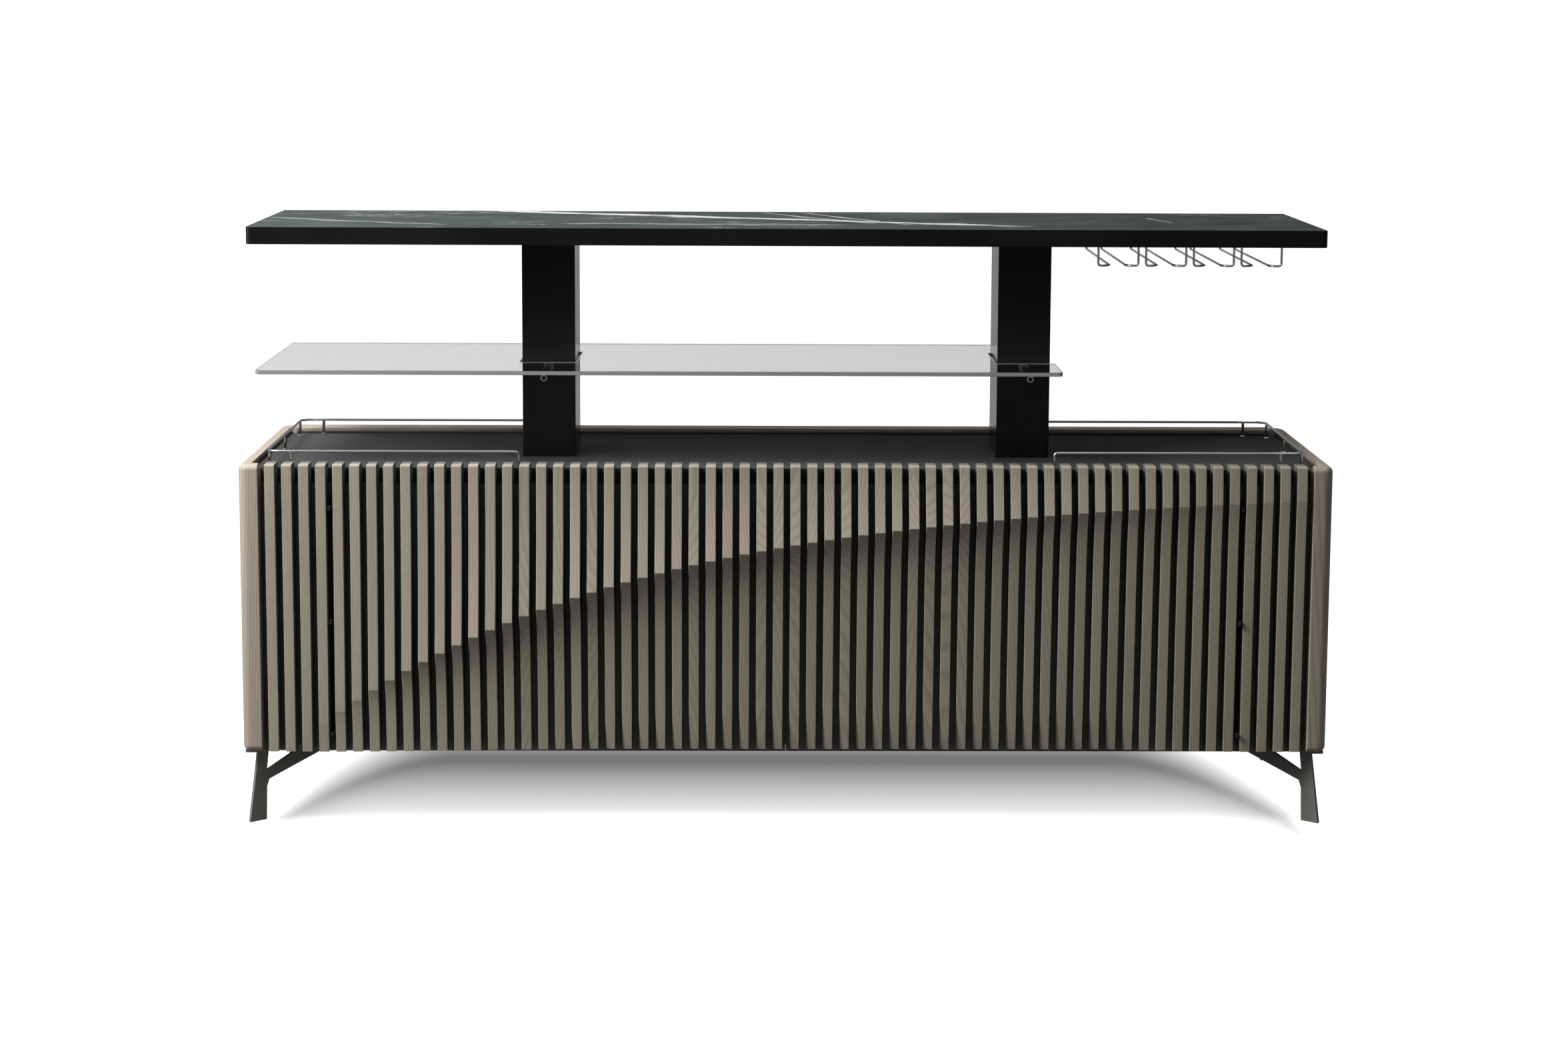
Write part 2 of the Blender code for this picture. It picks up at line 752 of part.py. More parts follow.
def build_glass(glass):
    """The glass shelf: a hole round the left column and a notch at the right one."""
    low, high = middle - glass_depth / 2, middle + glass_depth / 2
    near = middle - column_depth / 2 - glass_column_gap
    far = middle + column_depth / 2 + glass_column_gap
    left, right = -glass_left_reach, glass_right_reach
    half = column_width / 2 + glass_column_gap
    notch = column_spacing / 2 - half
    outline = [(left, low), (right, low), (right, near), (notch, near), (notch, far),
               (right, far), (right, high), (left, high)]
    bm = bmesh.new()
    add_prism(bm, outline, glass_top - glass_thickness, glass_top)
    shelf = finish("glass_shelf", bm, glass)
    centre = -column_spacing / 2
    hole = bmesh.new()
    add_box(hole, (centre - half, near, glass_top - glass_thickness - overrun),
            (centre + half, far, glass_top + overrun))
    combine(shelf, "glass_hole", hole, "DIFFERENCE")


def build_gallery(chrome):
    """A U-shaped wire on posts round each end of the tray. The wire's own ends stand on it too."""
    low = tray_surface + touch
    high = tray_surface + gallery_height
    near = top_front + gallery_front_inset + post_foot_radius
    far = rail_front - gallery_back_inset
    inner = column_spacing / 2 + column_width / 2 - gallery_wire_radius
    outer = inner_half - gallery_side_inset
    profile = ((0, post_foot_radius), (post_foot_height, post_foot_radius),
               (post_foot_height, post_radius),
               (high - gallery_wire_radius + post_bite - low, post_radius))
    radii = (gallery_bend, gallery_corner, gallery_corner, gallery_bend)
    run_x = outer - gallery_post_offset
    places = [(run_x, near), (run_x, far), (outer, near + gallery_side_post_offset),
              (outer, (near + far) / 2), (outer, far - gallery_side_post_offset)]
    for side, label in ((-1, "left"), (1, "right")):
        corners = [(side * inner, near, low), (side * inner, near, high),
                   (side * outer, near, high), (side * outer, far, high),
                   (side * inner, far, high), (side * inner, far, low)]
        wire = bmesh.new()
        add_wire(wire, bent_path(corners, radii), gallery_wire_radius)
        rail = finish(f"gallery_rail_{label}", wire, chrome, smooth=True)
        posts = bmesh.new()
        for x, y in places:
            add_turned(posts, (side * x, y, low), (0, 0, 1), profile)
        combine(rail, f"gallery_posts_{label}", posts, "UNION")


def stemware_paths():
    """Each channel's wire: down and in under a glass's foot, back, up and across, and so on out."""
    top = counter_bottom + stemware_insert
    run = counter_bottom - stemware_drop
    across = counter_bottom - touch - stemware_wire_radius
    near = front + stemware_front
    far = front + stemware_back
    small, large = stemware_small_bend, stemware_large_bend
    paths = []
    for number in range(stemware_count):
        centre = stemware_first + stemware_pitch * number
        corners = []
        for side in (-1, 1):
            outer = centre + side * stemware_width / 2
            inner = centre + side * stemware_slot / 2
            half = [(outer, near, top), (outer, near, run), (inner, near, run),
                    (inner, far, run), (inner, far, across)]
            corners += half if side < 0 else half[::-1]
        radii = (small, large, small, small, small, small, large, small)
        paths.append(bent_path(corners, radii))
    return paths


def build_stemware(chrome):
    """Four channels that hang glasses by their feet, each one bent wire."""
    for number, path in enumerate(stemware_paths(), 1):
        bm = bmesh.new()
        add_wire(bm, path, stemware_wire_radius)
        finish(f"stemware_channel_{number}", bm, chrome, smooth=True)


def build_legs(painted):
    """Y blades, each welded to two plates whose studs go up into the body."""
    plate_low = body_bottom - touch - leg_plate_thickness
    plate_middle = plate_low + leg_plate_thickness / 2
    for side, side_label in ((-1, "left"), (1, "right")):
        for face, face_label in ((-1, "front"), (1, "back")):
            name = f"leg_{face_label}_{side_label}"
            along = Vector((-side * math.cos(leg_angle), -face * math.sin(leg_angle), 0))
            across = Vector((-along.y, along.x, 0)) * leg_thickness / 2
            foot = Vector((*leg_point(side, face, 0), 0))
            outline = [foot + along * leg_span * share + Vector((0, 0, plate_middle * rise))
                       for share, rise in leg_outline_shares]
            bm = bmesh.new()
            loft(bm, [[point + across for point in outline], [point - across for point in outline]])
            leg = finish(name, bm, painted)
            plates = bmesh.new()
            studs = bmesh.new()
            for plate in leg_plates(side, face):
                (x, y), (half_x, half_y) = plate
                add_box(plates, (x - half_x, y - half_y, plate_low),
                        (x + half_x, y + half_y, body_bottom - touch))
                for stud_x, stud_y in plate_studs(side, face, plate):
                    add_cylinder(studs, (stud_x, stud_y, plate_middle), (0, 0, 1),
                                 body_bottom - plate_middle + stud_length - touch, stud_radius)
            combine(leg, f"{name}_plates", plates, "UNION")
            combine(leg, f"{name}_studs", studs, "UNION")


def main():
    """Build the whole sideboard."""
    for old in list(bpy.data.objects):
        bpy.data.objects.remove(old)
    wood = material("greyed_wood", (0.42, 0.37, 0.31), 0.65)
    black = material("black_board", (0.025, 0.025, 0.025), 0.55)
    gloss = material("black_gloss", (0.008, 0.008, 0.009), 0.12)
    glass_black = material("black_glass", (0.02, 0.02, 0.022), 0.06)
    stone = material("dark_stone", (0.10, 0.12, 0.11), 0.30)
    glass = material("clear_glass", (0.92, 0.95, 0.94), 0.02, transmission=1.0)
    chrome = material("chrome", (0.80, 0.80, 0.81), 0.08, 1.0)
    steel = material("zinc_steel", (0.60, 0.60, 0.60), 0.35, 1.0)
    painted = material("leg_paint", (0.075, 0.075, 0.065), 0.45)
    plastic = material("dark_plastic", (0.03, 0.03, 0.03), 0.50)

    build_carcass(wood, black, glass_black)
    build_shelves(black)
    build_fronts(wood, black, steel)
    build_latches(plastic)
    build_columns(gloss, steel, chrome)
    build_counter(gloss, stone)
    build_glass(glass)
    build_gallery(chrome)
    build_stemware(chrome)
    build_legs(painted)


main()
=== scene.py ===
"""Bar sideboard: slatted wave fronts, rims, columns, counter, glass shelf, rails, rack and legs.

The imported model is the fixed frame. Each operator models one group of pieces in place of its plain
solids, and gives the solids that stay their finish. Metres, +Z up, and the front faces -Y.
"""

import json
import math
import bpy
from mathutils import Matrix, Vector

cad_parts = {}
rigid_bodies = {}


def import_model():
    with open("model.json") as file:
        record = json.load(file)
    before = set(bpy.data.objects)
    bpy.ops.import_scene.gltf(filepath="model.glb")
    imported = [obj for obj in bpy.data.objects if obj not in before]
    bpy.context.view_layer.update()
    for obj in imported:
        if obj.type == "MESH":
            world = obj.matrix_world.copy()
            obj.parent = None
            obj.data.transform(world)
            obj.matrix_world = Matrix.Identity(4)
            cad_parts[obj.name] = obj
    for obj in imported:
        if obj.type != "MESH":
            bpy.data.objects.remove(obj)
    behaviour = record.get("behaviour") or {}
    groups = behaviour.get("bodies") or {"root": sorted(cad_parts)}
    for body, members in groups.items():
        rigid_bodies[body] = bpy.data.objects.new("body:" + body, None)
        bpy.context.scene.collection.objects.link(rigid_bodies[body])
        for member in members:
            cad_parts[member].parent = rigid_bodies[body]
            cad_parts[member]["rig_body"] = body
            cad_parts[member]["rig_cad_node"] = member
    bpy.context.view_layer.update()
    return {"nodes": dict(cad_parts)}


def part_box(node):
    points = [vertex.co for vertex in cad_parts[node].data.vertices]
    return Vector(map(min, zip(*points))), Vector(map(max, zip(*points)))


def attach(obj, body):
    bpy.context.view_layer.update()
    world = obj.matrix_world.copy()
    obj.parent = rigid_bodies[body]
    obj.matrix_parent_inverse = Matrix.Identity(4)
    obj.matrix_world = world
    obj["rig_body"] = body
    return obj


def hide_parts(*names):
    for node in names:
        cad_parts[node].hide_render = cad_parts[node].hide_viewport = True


bl_info = {
    "name": "Bar Sideboard",
    "version": (1, 0, 0),
    "blender": (4, 5, 0),
    "location": "3D View > Sidebar > Bar Sideboard",
    "description": "Models and finishes a slatted sideboard with a bar counter on two columns",
    "category": "Object",
}

import bmesh
import bpy
from bpy.props import FloatProperty, FloatVectorProperty, IntProperty, PointerProperty
from mathutils import Matrix, Vector

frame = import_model()
solids = frame["nodes"]

# Places read from the frame
side_low, side_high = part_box("side_panel_left")
inner_half = -side_high.x
front, back = side_low.y, side_high.y
body_bottom, body_top = side_low.z, side_high.z
tray_low, tray_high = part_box("tray_top")
rail_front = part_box("back_rail")[0].y
counter_low, counter_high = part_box("counter_core")
glass_low, glass_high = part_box("glass_shelf")
middle = (front + back) / 2

# Clearance between two pieces that touch, the overrun of a cut past a face, how near the middle
# of a face lies to the place that picks it, and how near two loose corners lie that are welded
touch = 0.0003
overrun = 0.01
near_enough = 0.001
weld = 0.00002


# Sizes and colours a user would change

def length(name, description, default):
    """A size in metres."""
    return FloatProperty(name=name, description=description, default=default, min=0.0,
                         precision=4, subtype="DISTANCE", unit="LENGTH")


def share(name, description, default):
    """A plain number."""
    return FloatProperty(name=name, description=description, default=default, min=0.0)


def color(name, description, default):
    """A linear colour."""
    return FloatVectorProperty(name=name, description=description, default=default,
                               subtype="COLOR", size=3, min=0.0, max=1.0)


class SideboardFronts(bpy.types.PropertyGroup):
    """The slats and the wave they are carved to."""

    slat_count: IntProperty(name="Slats", description="Number of slats across the front",
                            default=62, min=2)
    end_slat_count: IntProperty(name="Fixed slats", default=4, min=1,
                                description="Slats fixed beside each side panel")
    slat_width: length("Slat width", "Width of one slat", 0.0195)
    slat_depth: length("Slat depth", "Front plane to the back of the slats", 0.038)
    slat_bite: length("Slat bite", "Depth of the slats' groove in their sheet", 0.001)
    slat_wood: length("Slat wood", "Bare wood of the slats' tops, front to back", 0.017)
    slat_edge: length("Slat edge", "Rounding down the slats' front edges", 0.0014)
    slat_top: length("Slat top", "Rounding over the slats' top front edges", 0.0036)
    row_count: IntProperty(name="Rows", description="Rows of faces down each carved slat",
                           default=44, min=8)
    crest_reach: length("Crest reach", "How far the crest stands out of the front plane", 0.028)
    crest_drop: length("Crest drop", "Crest below the top at its highest", 0.046)
    crest_fall: length("Crest fall", "How far the crest falls to the left end", 0.560)
    crest_length: share("Crest length", "Share of the front over which the crest falls", 0.30)
    undercut: length("Undercut", "Height over which the crest turns under", 0.042)
    foot_recess: length("Foot recess", "How far the slats' feet stand back", 0.020)
    seam: length("Seam", "Between the sheets where the doors meet and turn", 0.0008)
    sheet_edge: length("Sheet edge", "Eased edges of the backing sheets", 0.0003)


class SideboardBody(bpy.types.PropertyGroup):
    """The side panels, rims and boards."""

    front_round: length("Front rounding", "Outer front edge of the side panels", 0.018)
    rear_round: length("Rear rounding", "Outer rear edge of the side panels", 0.030)
    end_round: length("End rounding", "Outer top and bottom edges of the side panels", 0.011)
    stile_depth: length("Stile depth", "Full-width front end of the side panels", 0.020)
    rebate: length("Rebate", "Width cut from the side panels' inner top edge", 0.014)
    inner_round: length("Inner rounding", "Inner edges of the side panels and rim", 0.0015)
    board_edge: length("Board edge", "Eased edges of the black boards", 0.0006)
    leg_edge: length("Leg edge", "Eased edges of the legs", 0.0008)


class SideboardTop(bpy.types.PropertyGroup):
    """The columns, the counter and the glass shelf."""

    column_spacing: length("Column spacing", "Between the columns' middles", 0.935)
    column_width: length("Column width", "Along the front", 0.104)
    column_depth: length("Column depth", "Front to back", 0.155)
    column_wall: length("Column wall", "Thickness of the columns' walls", 0.003)
    column_edge: length("Column edge", "Rounding of the columns' edges", 0.0016)
    plate_edge: length("Plate edge", "Eased edges of the plates in the columns", 0.0005)
    counter_corner: length("Counter corner", "Rounding of the counter's corners", 0.010)
    counter_lip: length("Counter lip", "Width of the edge round the slab", 0.003)
    slab_thickness: length("Slab", "Thickness of the stone slab", 0.010)
    counter_edge: length("Counter edge", "Eased edges of the counter", 0.0007)
    glass_gap: length("Glass gap", "Between the glass and the columns", 0.004)
    glass_corner: length("Glass corner", "Rounding of the glass's corners", 0.010)
    glass_edge: length("Glass edge", "Polished edge of the glass", 0.0009)
    arm_radius: length("Arm radius", "Turned arms under the glass", 0.00625)
    collar_radius: length("Collar radius", "Collars against the columns", 0.010)
    collar_thickness: length("Collar thickness", "Collars against the columns", 0.003)
    spigot_radius: length("Spigot radius", "Ends of the arms in the columns", 0.004)
    spigot_length: length("Spigot length", "Ends of the arms in the columns", 0.010)
    arm_end_inset: length("Arm end inset", "Arm's end inside the glass's edge", 0.007)
    collar_edge: length("Collar edge", "Eased edges of the collars", 0.0005)
    arm_round: length("Arm rounding", "Rounding of the arms' ends", 0.0012)
    plug_inset: length("Plug inset", "Arm's edge to the black plug in its end", 0.00192)


class SideboardWires(bpy.types.PropertyGroup):
    """The gallery rails and the stemware rack."""

    rail_radius: length("Rail radius", "Half the thickness of the gallery wire", 0.0025)
    rail_height: length("Rail height", "Above the tray", 0.0305)
    rail_bend: length("Rail bend", "Where the wire's ends turn down", 0.006)
    rail_corner: length("Rail corner", "Corners of the rail in plan", 0.020)
    rail_side_inset: length("Side inset", "Rail from the side panel", 0.012)
    rail_front_inset: length("Front inset", "Posts' feet from the tray's front edge", 0.002)
    rail_back_inset: length("Back inset", "Rail from the back rim", 0.015)
    post_offset: length("Post offset", "Outer posts from the rail's corner", 0.045)
    side_post_offset: length("Side post offset", "Side posts from the rail's corner", 0.024)
    post_radius: length("Post radius", "Half the thickness of a post", 0.003)
    post_bite: length("Post bite", "How far a post runs into the wire", 0.0013)
    foot_radius: length("Post foot radius", "Flange at a post's foot", 0.006)
    foot_height: length("Post foot height", "Flange at a post's foot", 0.002)
    rack_count: IntProperty(name="Channels", description="Stemware channels", default=4, min=1)
    rack_radius: length("Rack wire radius", "Half the thickness of the rack's wire", 0.0022)
    rack_pitch: length("Rack pitch", "Between the channels", 0.0918)
    rack_first: length("First channel", "Its middle, from the counter's middle", 0.634)
    rack_width: length("Channel width", "Between a channel's outer wires", 0.077)
    rack_slot: length("Channel slot", "Between a channel's inner wires", 0.031)
    rack_drop: length("Rack drop", "Below the counter", 0.037)
    rack_front: length("Rack front", "Front plane to the rack's front", 0.055)
    rack_back: length("Rack back", "Front plane to the rack's back", 0.430)
    small_bend: length("Small bend", "Radius of the rack's tight bends", 0.005)
    large_bend: length("Large bend", "Radius of the rack's wide bends", 0.017)
    insert: length("Insert", "Wire ends up in the counter", 0.006)
    sides: IntProperty(name="Sides", description="Faces round a wire", default=14, min=6)
    bend_steps: IntProperty(name="Bend steps", description="Faces along a bend", default=7, min=3)


class SideboardFinishes(bpy.types.PropertyGroup):
    """The colours of the finishes."""

    wood_light: color("Light wood", "Early wood of the greyed veneer", (0.365, 0.312, 0.258))
    wood_green: color("Green-grey wood", "Slats with a cooler cast", (0.312, 0.288, 0.222))
    wood_dark: color("Dark wood", "Late wood of the greyed veneer", (0.190, 0.158, 0.121))
    # Painted shade: colour of a painted contact shadow at the foot of the rear rim
    painted_foot_shade: color("Stain", "Foot of the rear rim, against the tray", (0.012, 0.010, 0.008))
    board: color("Black board", "Boards and backing sheets", (0.0135, 0.0140, 0.0125))
    groove: color("Groove", "Stain between the slats", (0.115, 0.117, 0.104))
    tray: color("Tray", "Satin top inside the rim", (0.0480, 0.0485, 0.0482))
    metal: color("Black metal", "Hinges", (0.012, 0.012, 0.012))
    plastic: color("Latch plastic", "Push latches", (0.030, 0.030, 0.031))
    steel: color("Zinc steel", "Plates, rods and strikes", (0.52, 0.53, 0.53))
    gloss: color("Column black", "Columns", (0.0105, 0.0110, 0.0108))
    edge: color("Counter black", "Edge of the counter", (0.0045, 0.0050, 0.0048))
    stone: color("Stone", "Ground of the slab", (0.038, 0.047, 0.043))
    vein: color("Vein", "Veins of the slab", (0.52, 0.53, 0.51))
    glass: color("Glass", "Tint of the shelf", (0.955, 0.958, 0.958))
    glass_edge: color("Glass edge", "Darker edges of the shelf", (0.32, 0.33, 0.325))
    chrome: color("Chrome", "Arms, rails and rack", (0.50, 0.50, 0.51))
    legs: color("Leg paint", "Powder coat of the legs", (0.150, 0.152, 0.132))


class SideboardStudio(bpy.types.PropertyGroup):
    """The floor, the lamps and the camera."""

    floor: color("Floor", "Pale floor", (0.90, 0.90, 0.90))
    floor_bounce: share("Floor bounce", "Light that the floor throws back up", 0.13)
    # Brightness of the floor at the core of its painted shadow
    painted_shadow_lift: share("Floor lift", "Floor's own brightness under the sideboard", 0.155)
    floor_lit: share("Floor lit", "How much of the lamps' light the seen floor takes", 0.3)
    ambient: share("Ambient", "Light from overhead all round", 0.20)
    room: share("Room", "Brightness of the room that gloss reflects", 0.16)
    key_power: share("Key", "Soft light high at the left", 231.0)
    side_power: share("Side", "Soft light low at the left", 13.0)
    top_power: share("Top", "Soft light overhead", 10.0)
    camera_lens: share("Lens", "Focal length in millimetres", 62.503)
    camera_shift: FloatProperty(name="Shift", description="Lens shift", default=-0.115)
    camera_place: FloatVectorProperty(name="Camera", description="Where the camera stands", size=3,
                                      default=(-0.0742, -5.3806, 1.5727), subtype="XYZ",
                                      unit="LENGTH")
    camera_tilt: FloatProperty(name="Tilt", description="Downward tilt",
                               default=math.radians(6.945), subtype="ANGLE")
    camera_turn: FloatProperty(name="Turn", description="Turn to the right",
                               default=math.radians(0.745), subtype="ANGLE")
    camera_roll: FloatProperty(name="Roll", description="Roll of the picture",
                               default=math.radians(-0.275), subtype="ANGLE")


class SideboardSettings(bpy.types.PropertyGroup):
    """All the sideboard's settings."""

    fronts: PointerProperty(type=SideboardFronts)
    body: PointerProperty(type=SideboardBody)
    top: PointerProperty(type=SideboardTop)
    wires: PointerProperty(type=SideboardWires)
    finishes: PointerProperty(type=SideboardFinishes)
    studio: PointerProperty(type=SideboardStudio)


# Modelling tools

def take_up(piece):
    """Make this the only selected object."""
    bpy.ops.object.select_all(action="DESELECT")
    bpy.context.view_layer.objects.active = piece
    piece.select_set(True)


def fresh_piece(name):
    """Name the primitive just added and move its place into its mesh."""
    piece = bpy.context.object
    piece.name = piece.data.name = name
    bpy.ops.object.transform_apply(location=True, rotation=True, scale=True)
    return piece


def add_block(name, low, high):
    """A block between two corners."""
    low, high = Vector(low), Vector(high)
    bpy.ops.object.select_all(action="DESELECT")
    bpy.ops.mesh.primitive_cube_add(size=1, location=(low + high) / 2, scale=high - low)
    return fresh_piece(name)


def add_ring(name, centre, direction, radius, sides):
    """An open ring of edges square to a direction."""
    bpy.ops.object.select_all(action="DESELECT")
    turn = Vector(direction).to_track_quat("Z", "Y").to_euler()
    bpy.ops.mesh.primitive_circle_add(vertices=sides, radius=radius, fill_type="NOTHING",
                                      location=centre, rotation=turn)
    return fresh_piece(name)


def edit(piece):
    """Open the piece in edit mode with all of it selected."""
    take_up(piece)
    bpy.ops.object.mode_set(mode="EDIT")
    bpy.ops.mesh.select_all(action="SELECT")


def leave_edit():
    """Back to object mode."""
    bpy.ops.object.mode_set(mode="OBJECT")


def pick(piece, kind, wanted):
    """Select the vertices, edges or faces of the open piece that pass the test."""
    bpy.ops.mesh.select_mode(type=kind)
    bpy.ops.mesh.select_all(action="DESELECT")
    shape = bmesh.from_edit_mesh(piece.data)
    parts = {"VERT": shape.verts, "EDGE": shape.edges, "FACE": shape.faces}[kind]
    found = [part for part in parts if wanted(part)]
    if not found:
        raise RuntimeError(f"{piece.name}: nothing to select")
    for part in found:
        part.select_set(True)
    shape.select_flush_mode()
    bmesh.update_edit_mesh(piece.data)


def along(edge, axis):
    """True where an edge runs along an axis."""
    run = (edge.verts[1].co - edge.verts[0].co).normalized()
    return abs(run[axis]) > 0.999


def at(part, axis, place):
    """True where a whole edge or face lies at a place on an axis."""
    return all(abs(vert.co[axis] - place) < 1e-5 for vert in part.verts)


def round_edges(piece, wanted, radius, steps):
    """Bevel the open piece's edges that pass the test."""
    pick(piece, "EDGE", wanted)
    bpy.ops.mesh.bevel(offset=radius, segments=steps, affect="EDGES")


def use_modifier(piece, kind, **settings):
    """Add a modifier and apply it."""
    take_up(piece)
    modifier = piece.modifiers.new(kind.title(), kind)
    for key, value in settings.items():
        setattr(modifier, key, value)
    bpy.ops.object.modifier_apply(modifier=modifier.name)


def ease(piece, width, steps=2, degrees=30):
    """Round every sharp edge a little."""
    use_modifier(piece, "BEVEL", width=width, segments=steps, limit_method="ANGLE",
                 angle_limit=math.radians(degrees))


def cut_away(piece, cutter):
    """Cut one piece's shape out of another and throw the cutter away."""
    use_modifier(piece, "BOOLEAN", operation="DIFFERENCE", object=cutter, solver="EXACT")
    bpy.data.objects.remove(cutter)


def copy_piece(piece, name):
    """A copy with its own mesh."""
    made = piece.copy()
    made.data = piece.data.copy()
    made.name = made.data.name = name
    bpy.context.scene.collection.objects.link(made)
    return made


def mirror_piece(piece, name):
    """A copy on the other side of the middle, turned outwards again."""
    made = copy_piece(piece, name)
    take_up(made)
    made.scale.x = -1
    bpy.ops.object.transform_apply(location=False, rotation=False, scale=True)
    edit(made)
    bpy.ops.mesh.normals_make_consistent(inside=False)
    leave_edit()
    return made


def shift_mesh(piece, step):
    """Move the piece's mesh, with its object left at the origin."""
    edit(piece)
    bpy.ops.transform.translate(value=step)
    leave_edit()


def join_pieces(name, pieces):
    """One object of several."""
    take_up(pieces[0])
    for piece in pieces:
        piece.select_set(True)
    bpy.ops.object.join()
    pieces[0].name = pieces[0].data.name = name
    return pieces[0]


def close_round(piece):
    """Close the open ends of a drawn-out ring and turn its faces outwards."""
    bpy.ops.mesh.select_all(action="SELECT")
    bpy.ops.mesh.fill_holes(sides=0)
    bpy.ops.mesh.normals_make_consistent(inside=False)
    leave_edit()
    return piece


def draw_wire(name, corners, bends, radius, sides, steps):
    """A wire: a ring drawn along each straight run and spun round each bend."""
    corners = [Vector(corner) for corner in corners]
    wire = add_ring(name, corners[0], corners[1] - corners[0], radius, sides)
    edit(wire)
    place = corners[0]
    for before, here, after, bend in zip(corners, corners[1:], corners[2:], bends):
        inward = (here - before).normalized()
        outward = (after - here).normalized()
        turn = inward.angle(outward)
        run_out = bend * math.tan(turn / 2)
        start = here - inward * run_out
        bpy.ops.mesh.extrude_region_move(TRANSFORM_OT_translate={"value": start - place})
        across = (outward - inward * outward.dot(inward)).normalized()
        # With no window, spin turns the other way round its axis
        bpy.ops.mesh.spin(steps=steps, angle=-turn, center=start + across * bend,
                          axis=inward.cross(outward).normalized())
        place = here + outward * run_out
    bpy.ops.mesh.extrude_region_move(TRANSFORM_OT_translate={"value": corners[-1] - place})
    return close_round(wire)


def turn_part(name, start, direction, profile, sides=32):
    """A turned part: a ring drawn along its axis and opened or closed to each radius."""
    start, direction = Vector(start), Vector(direction)
    part = add_ring(name, start + direction * profile[0][0], direction, profile[0][1], sides)
    edit(part)
    for (before, radius), (after, wider) in zip(profile, profile[1:]):
        run = direction * (after - before)
        bpy.ops.mesh.extrude_region_move(TRANSFORM_OT_translate={"value": run})
        if wider != radius:
            bpy.ops.transform.resize(value=(wider / radius,) * 3,
                                     center_override=start + direction * after)
    return close_round(part)


def eased_copy(node, name, width, steps=2):
    """A solid's shape merged from its loose triangles, with its edges eased."""
    piece = copy_piece(solids[node], name)
    piece.parent = None
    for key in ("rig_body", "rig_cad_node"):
        del piece[key]
    piece.data.materials.clear()
    edit(piece)
    bpy.ops.mesh.remove_doubles(threshold=weld)
    bpy.ops.mesh.dissolve_limited(angle_limit=math.radians(1))
    leave_edit()
    ease(piece, width, steps)
    return piece


def finish_piece(piece, finish, node, body="cabinet", degrees=32):
    """Shade the piece, give it its finish, and set it on its body in place of its solid."""
    piece.data.materials.clear()
    piece.data.materials.append(finish_named(finish))
    take_up(piece)
    bpy.ops.object.shade_smooth_by_angle(angle=math.radians(degrees))
    use_modifier(piece, "WEIGHTED_NORMAL", keep_sharp=True)
    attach(piece, body)
    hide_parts(node)


def finish_solid(node, finish):
    """Give a solid that stays its finish."""
    solid = solids[node]
    solid.data.materials.clear()
    solid.data.materials.append(finish_named(finish))


# Shader tools

def connect(tree, socket, value):
    """Link a socket, or set its value."""
    if isinstance(value, bpy.types.NodeSocket):
        tree.links.new(value, socket)
    else:
        socket.default_value = value


def add_node(tree, kind, values=None, **settings):
    """A shader node with its settings and inputs."""
    made = tree.nodes.new(kind)
    made.location = (200 * (len(tree.nodes) % 9), -180 * (len(tree.nodes) // 9))
    for key, value in settings.items():
        setattr(made, key, value)
    for key, value in (values or {}).items():
        connect(tree, made.inputs[key], value)
    return made


def calculate(tree, operation, *values, clamp=False):
    """A Math node's result."""
    made = add_node(tree, "ShaderNodeMath", operation=operation, use_clamp=clamp)
    for socket, value in zip(made.inputs, values):
        connect(tree, socket, value)
    return made.outputs[0]


def scale_vector(tree, vector, scale):
    """A vector stretched by three factors."""
    made = add_node(tree, "ShaderNodeVectorMath", {0: vector, 1: scale}, operation="MULTIPLY")
    return made.outputs[0]


def noise(tree, vector, scale, detail=2.0, roughness=0.5):
    """A noise from 0 to 1."""
    values = {"Vector": vector, "Scale": scale, "Detail": detail, "Roughness": roughness}
    return add_node(tree, "ShaderNodeTexNoise", values).outputs[0]


def ramp(tree, value, low, high, to_low=0.0, to_high=1.0):
    """A value eased from one range to another."""
    values = {"Value": value, "From Min": low, "From Max": high,
              "To Min": to_low, "To Max": to_high}
    made = add_node(tree, "ShaderNodeMapRange", values, interpolation_type="SMOOTHSTEP")
    return made.outputs[0]


def mix_colors(tree, factor, first, second):
    """Two colours mixed by a factor."""
    made = add_node(tree, "ShaderNodeMix", data_type="RGBA")
    connect(tree, made.inputs[0], factor)
    connect(tree, made.inputs[6], first)
    connect(tree, made.inputs[7], second)
    return made.outputs[2]


def opaque(values):
    """A colour with full alpha."""
    return (*values, 1.0)


def new_group(name, inputs, outputs):
    """An empty node group and its two ends. Inputs give their socket kind and default."""
    group = bpy.data.node_groups.new(name, "ShaderNodeTree")
    for label, kind, default in inputs:
        socket = group.interface.new_socket(name=label, in_out="INPUT", socket_type=kind)
        if default is not None:
            socket.default_value = default
    for label in outputs:
        group.interface.new_socket(name=label, in_out="OUTPUT", socket_type="NodeSocketFloat")
    return group, add_node(group, "NodeGroupInput"), add_node(group, "NodeGroupOutput")


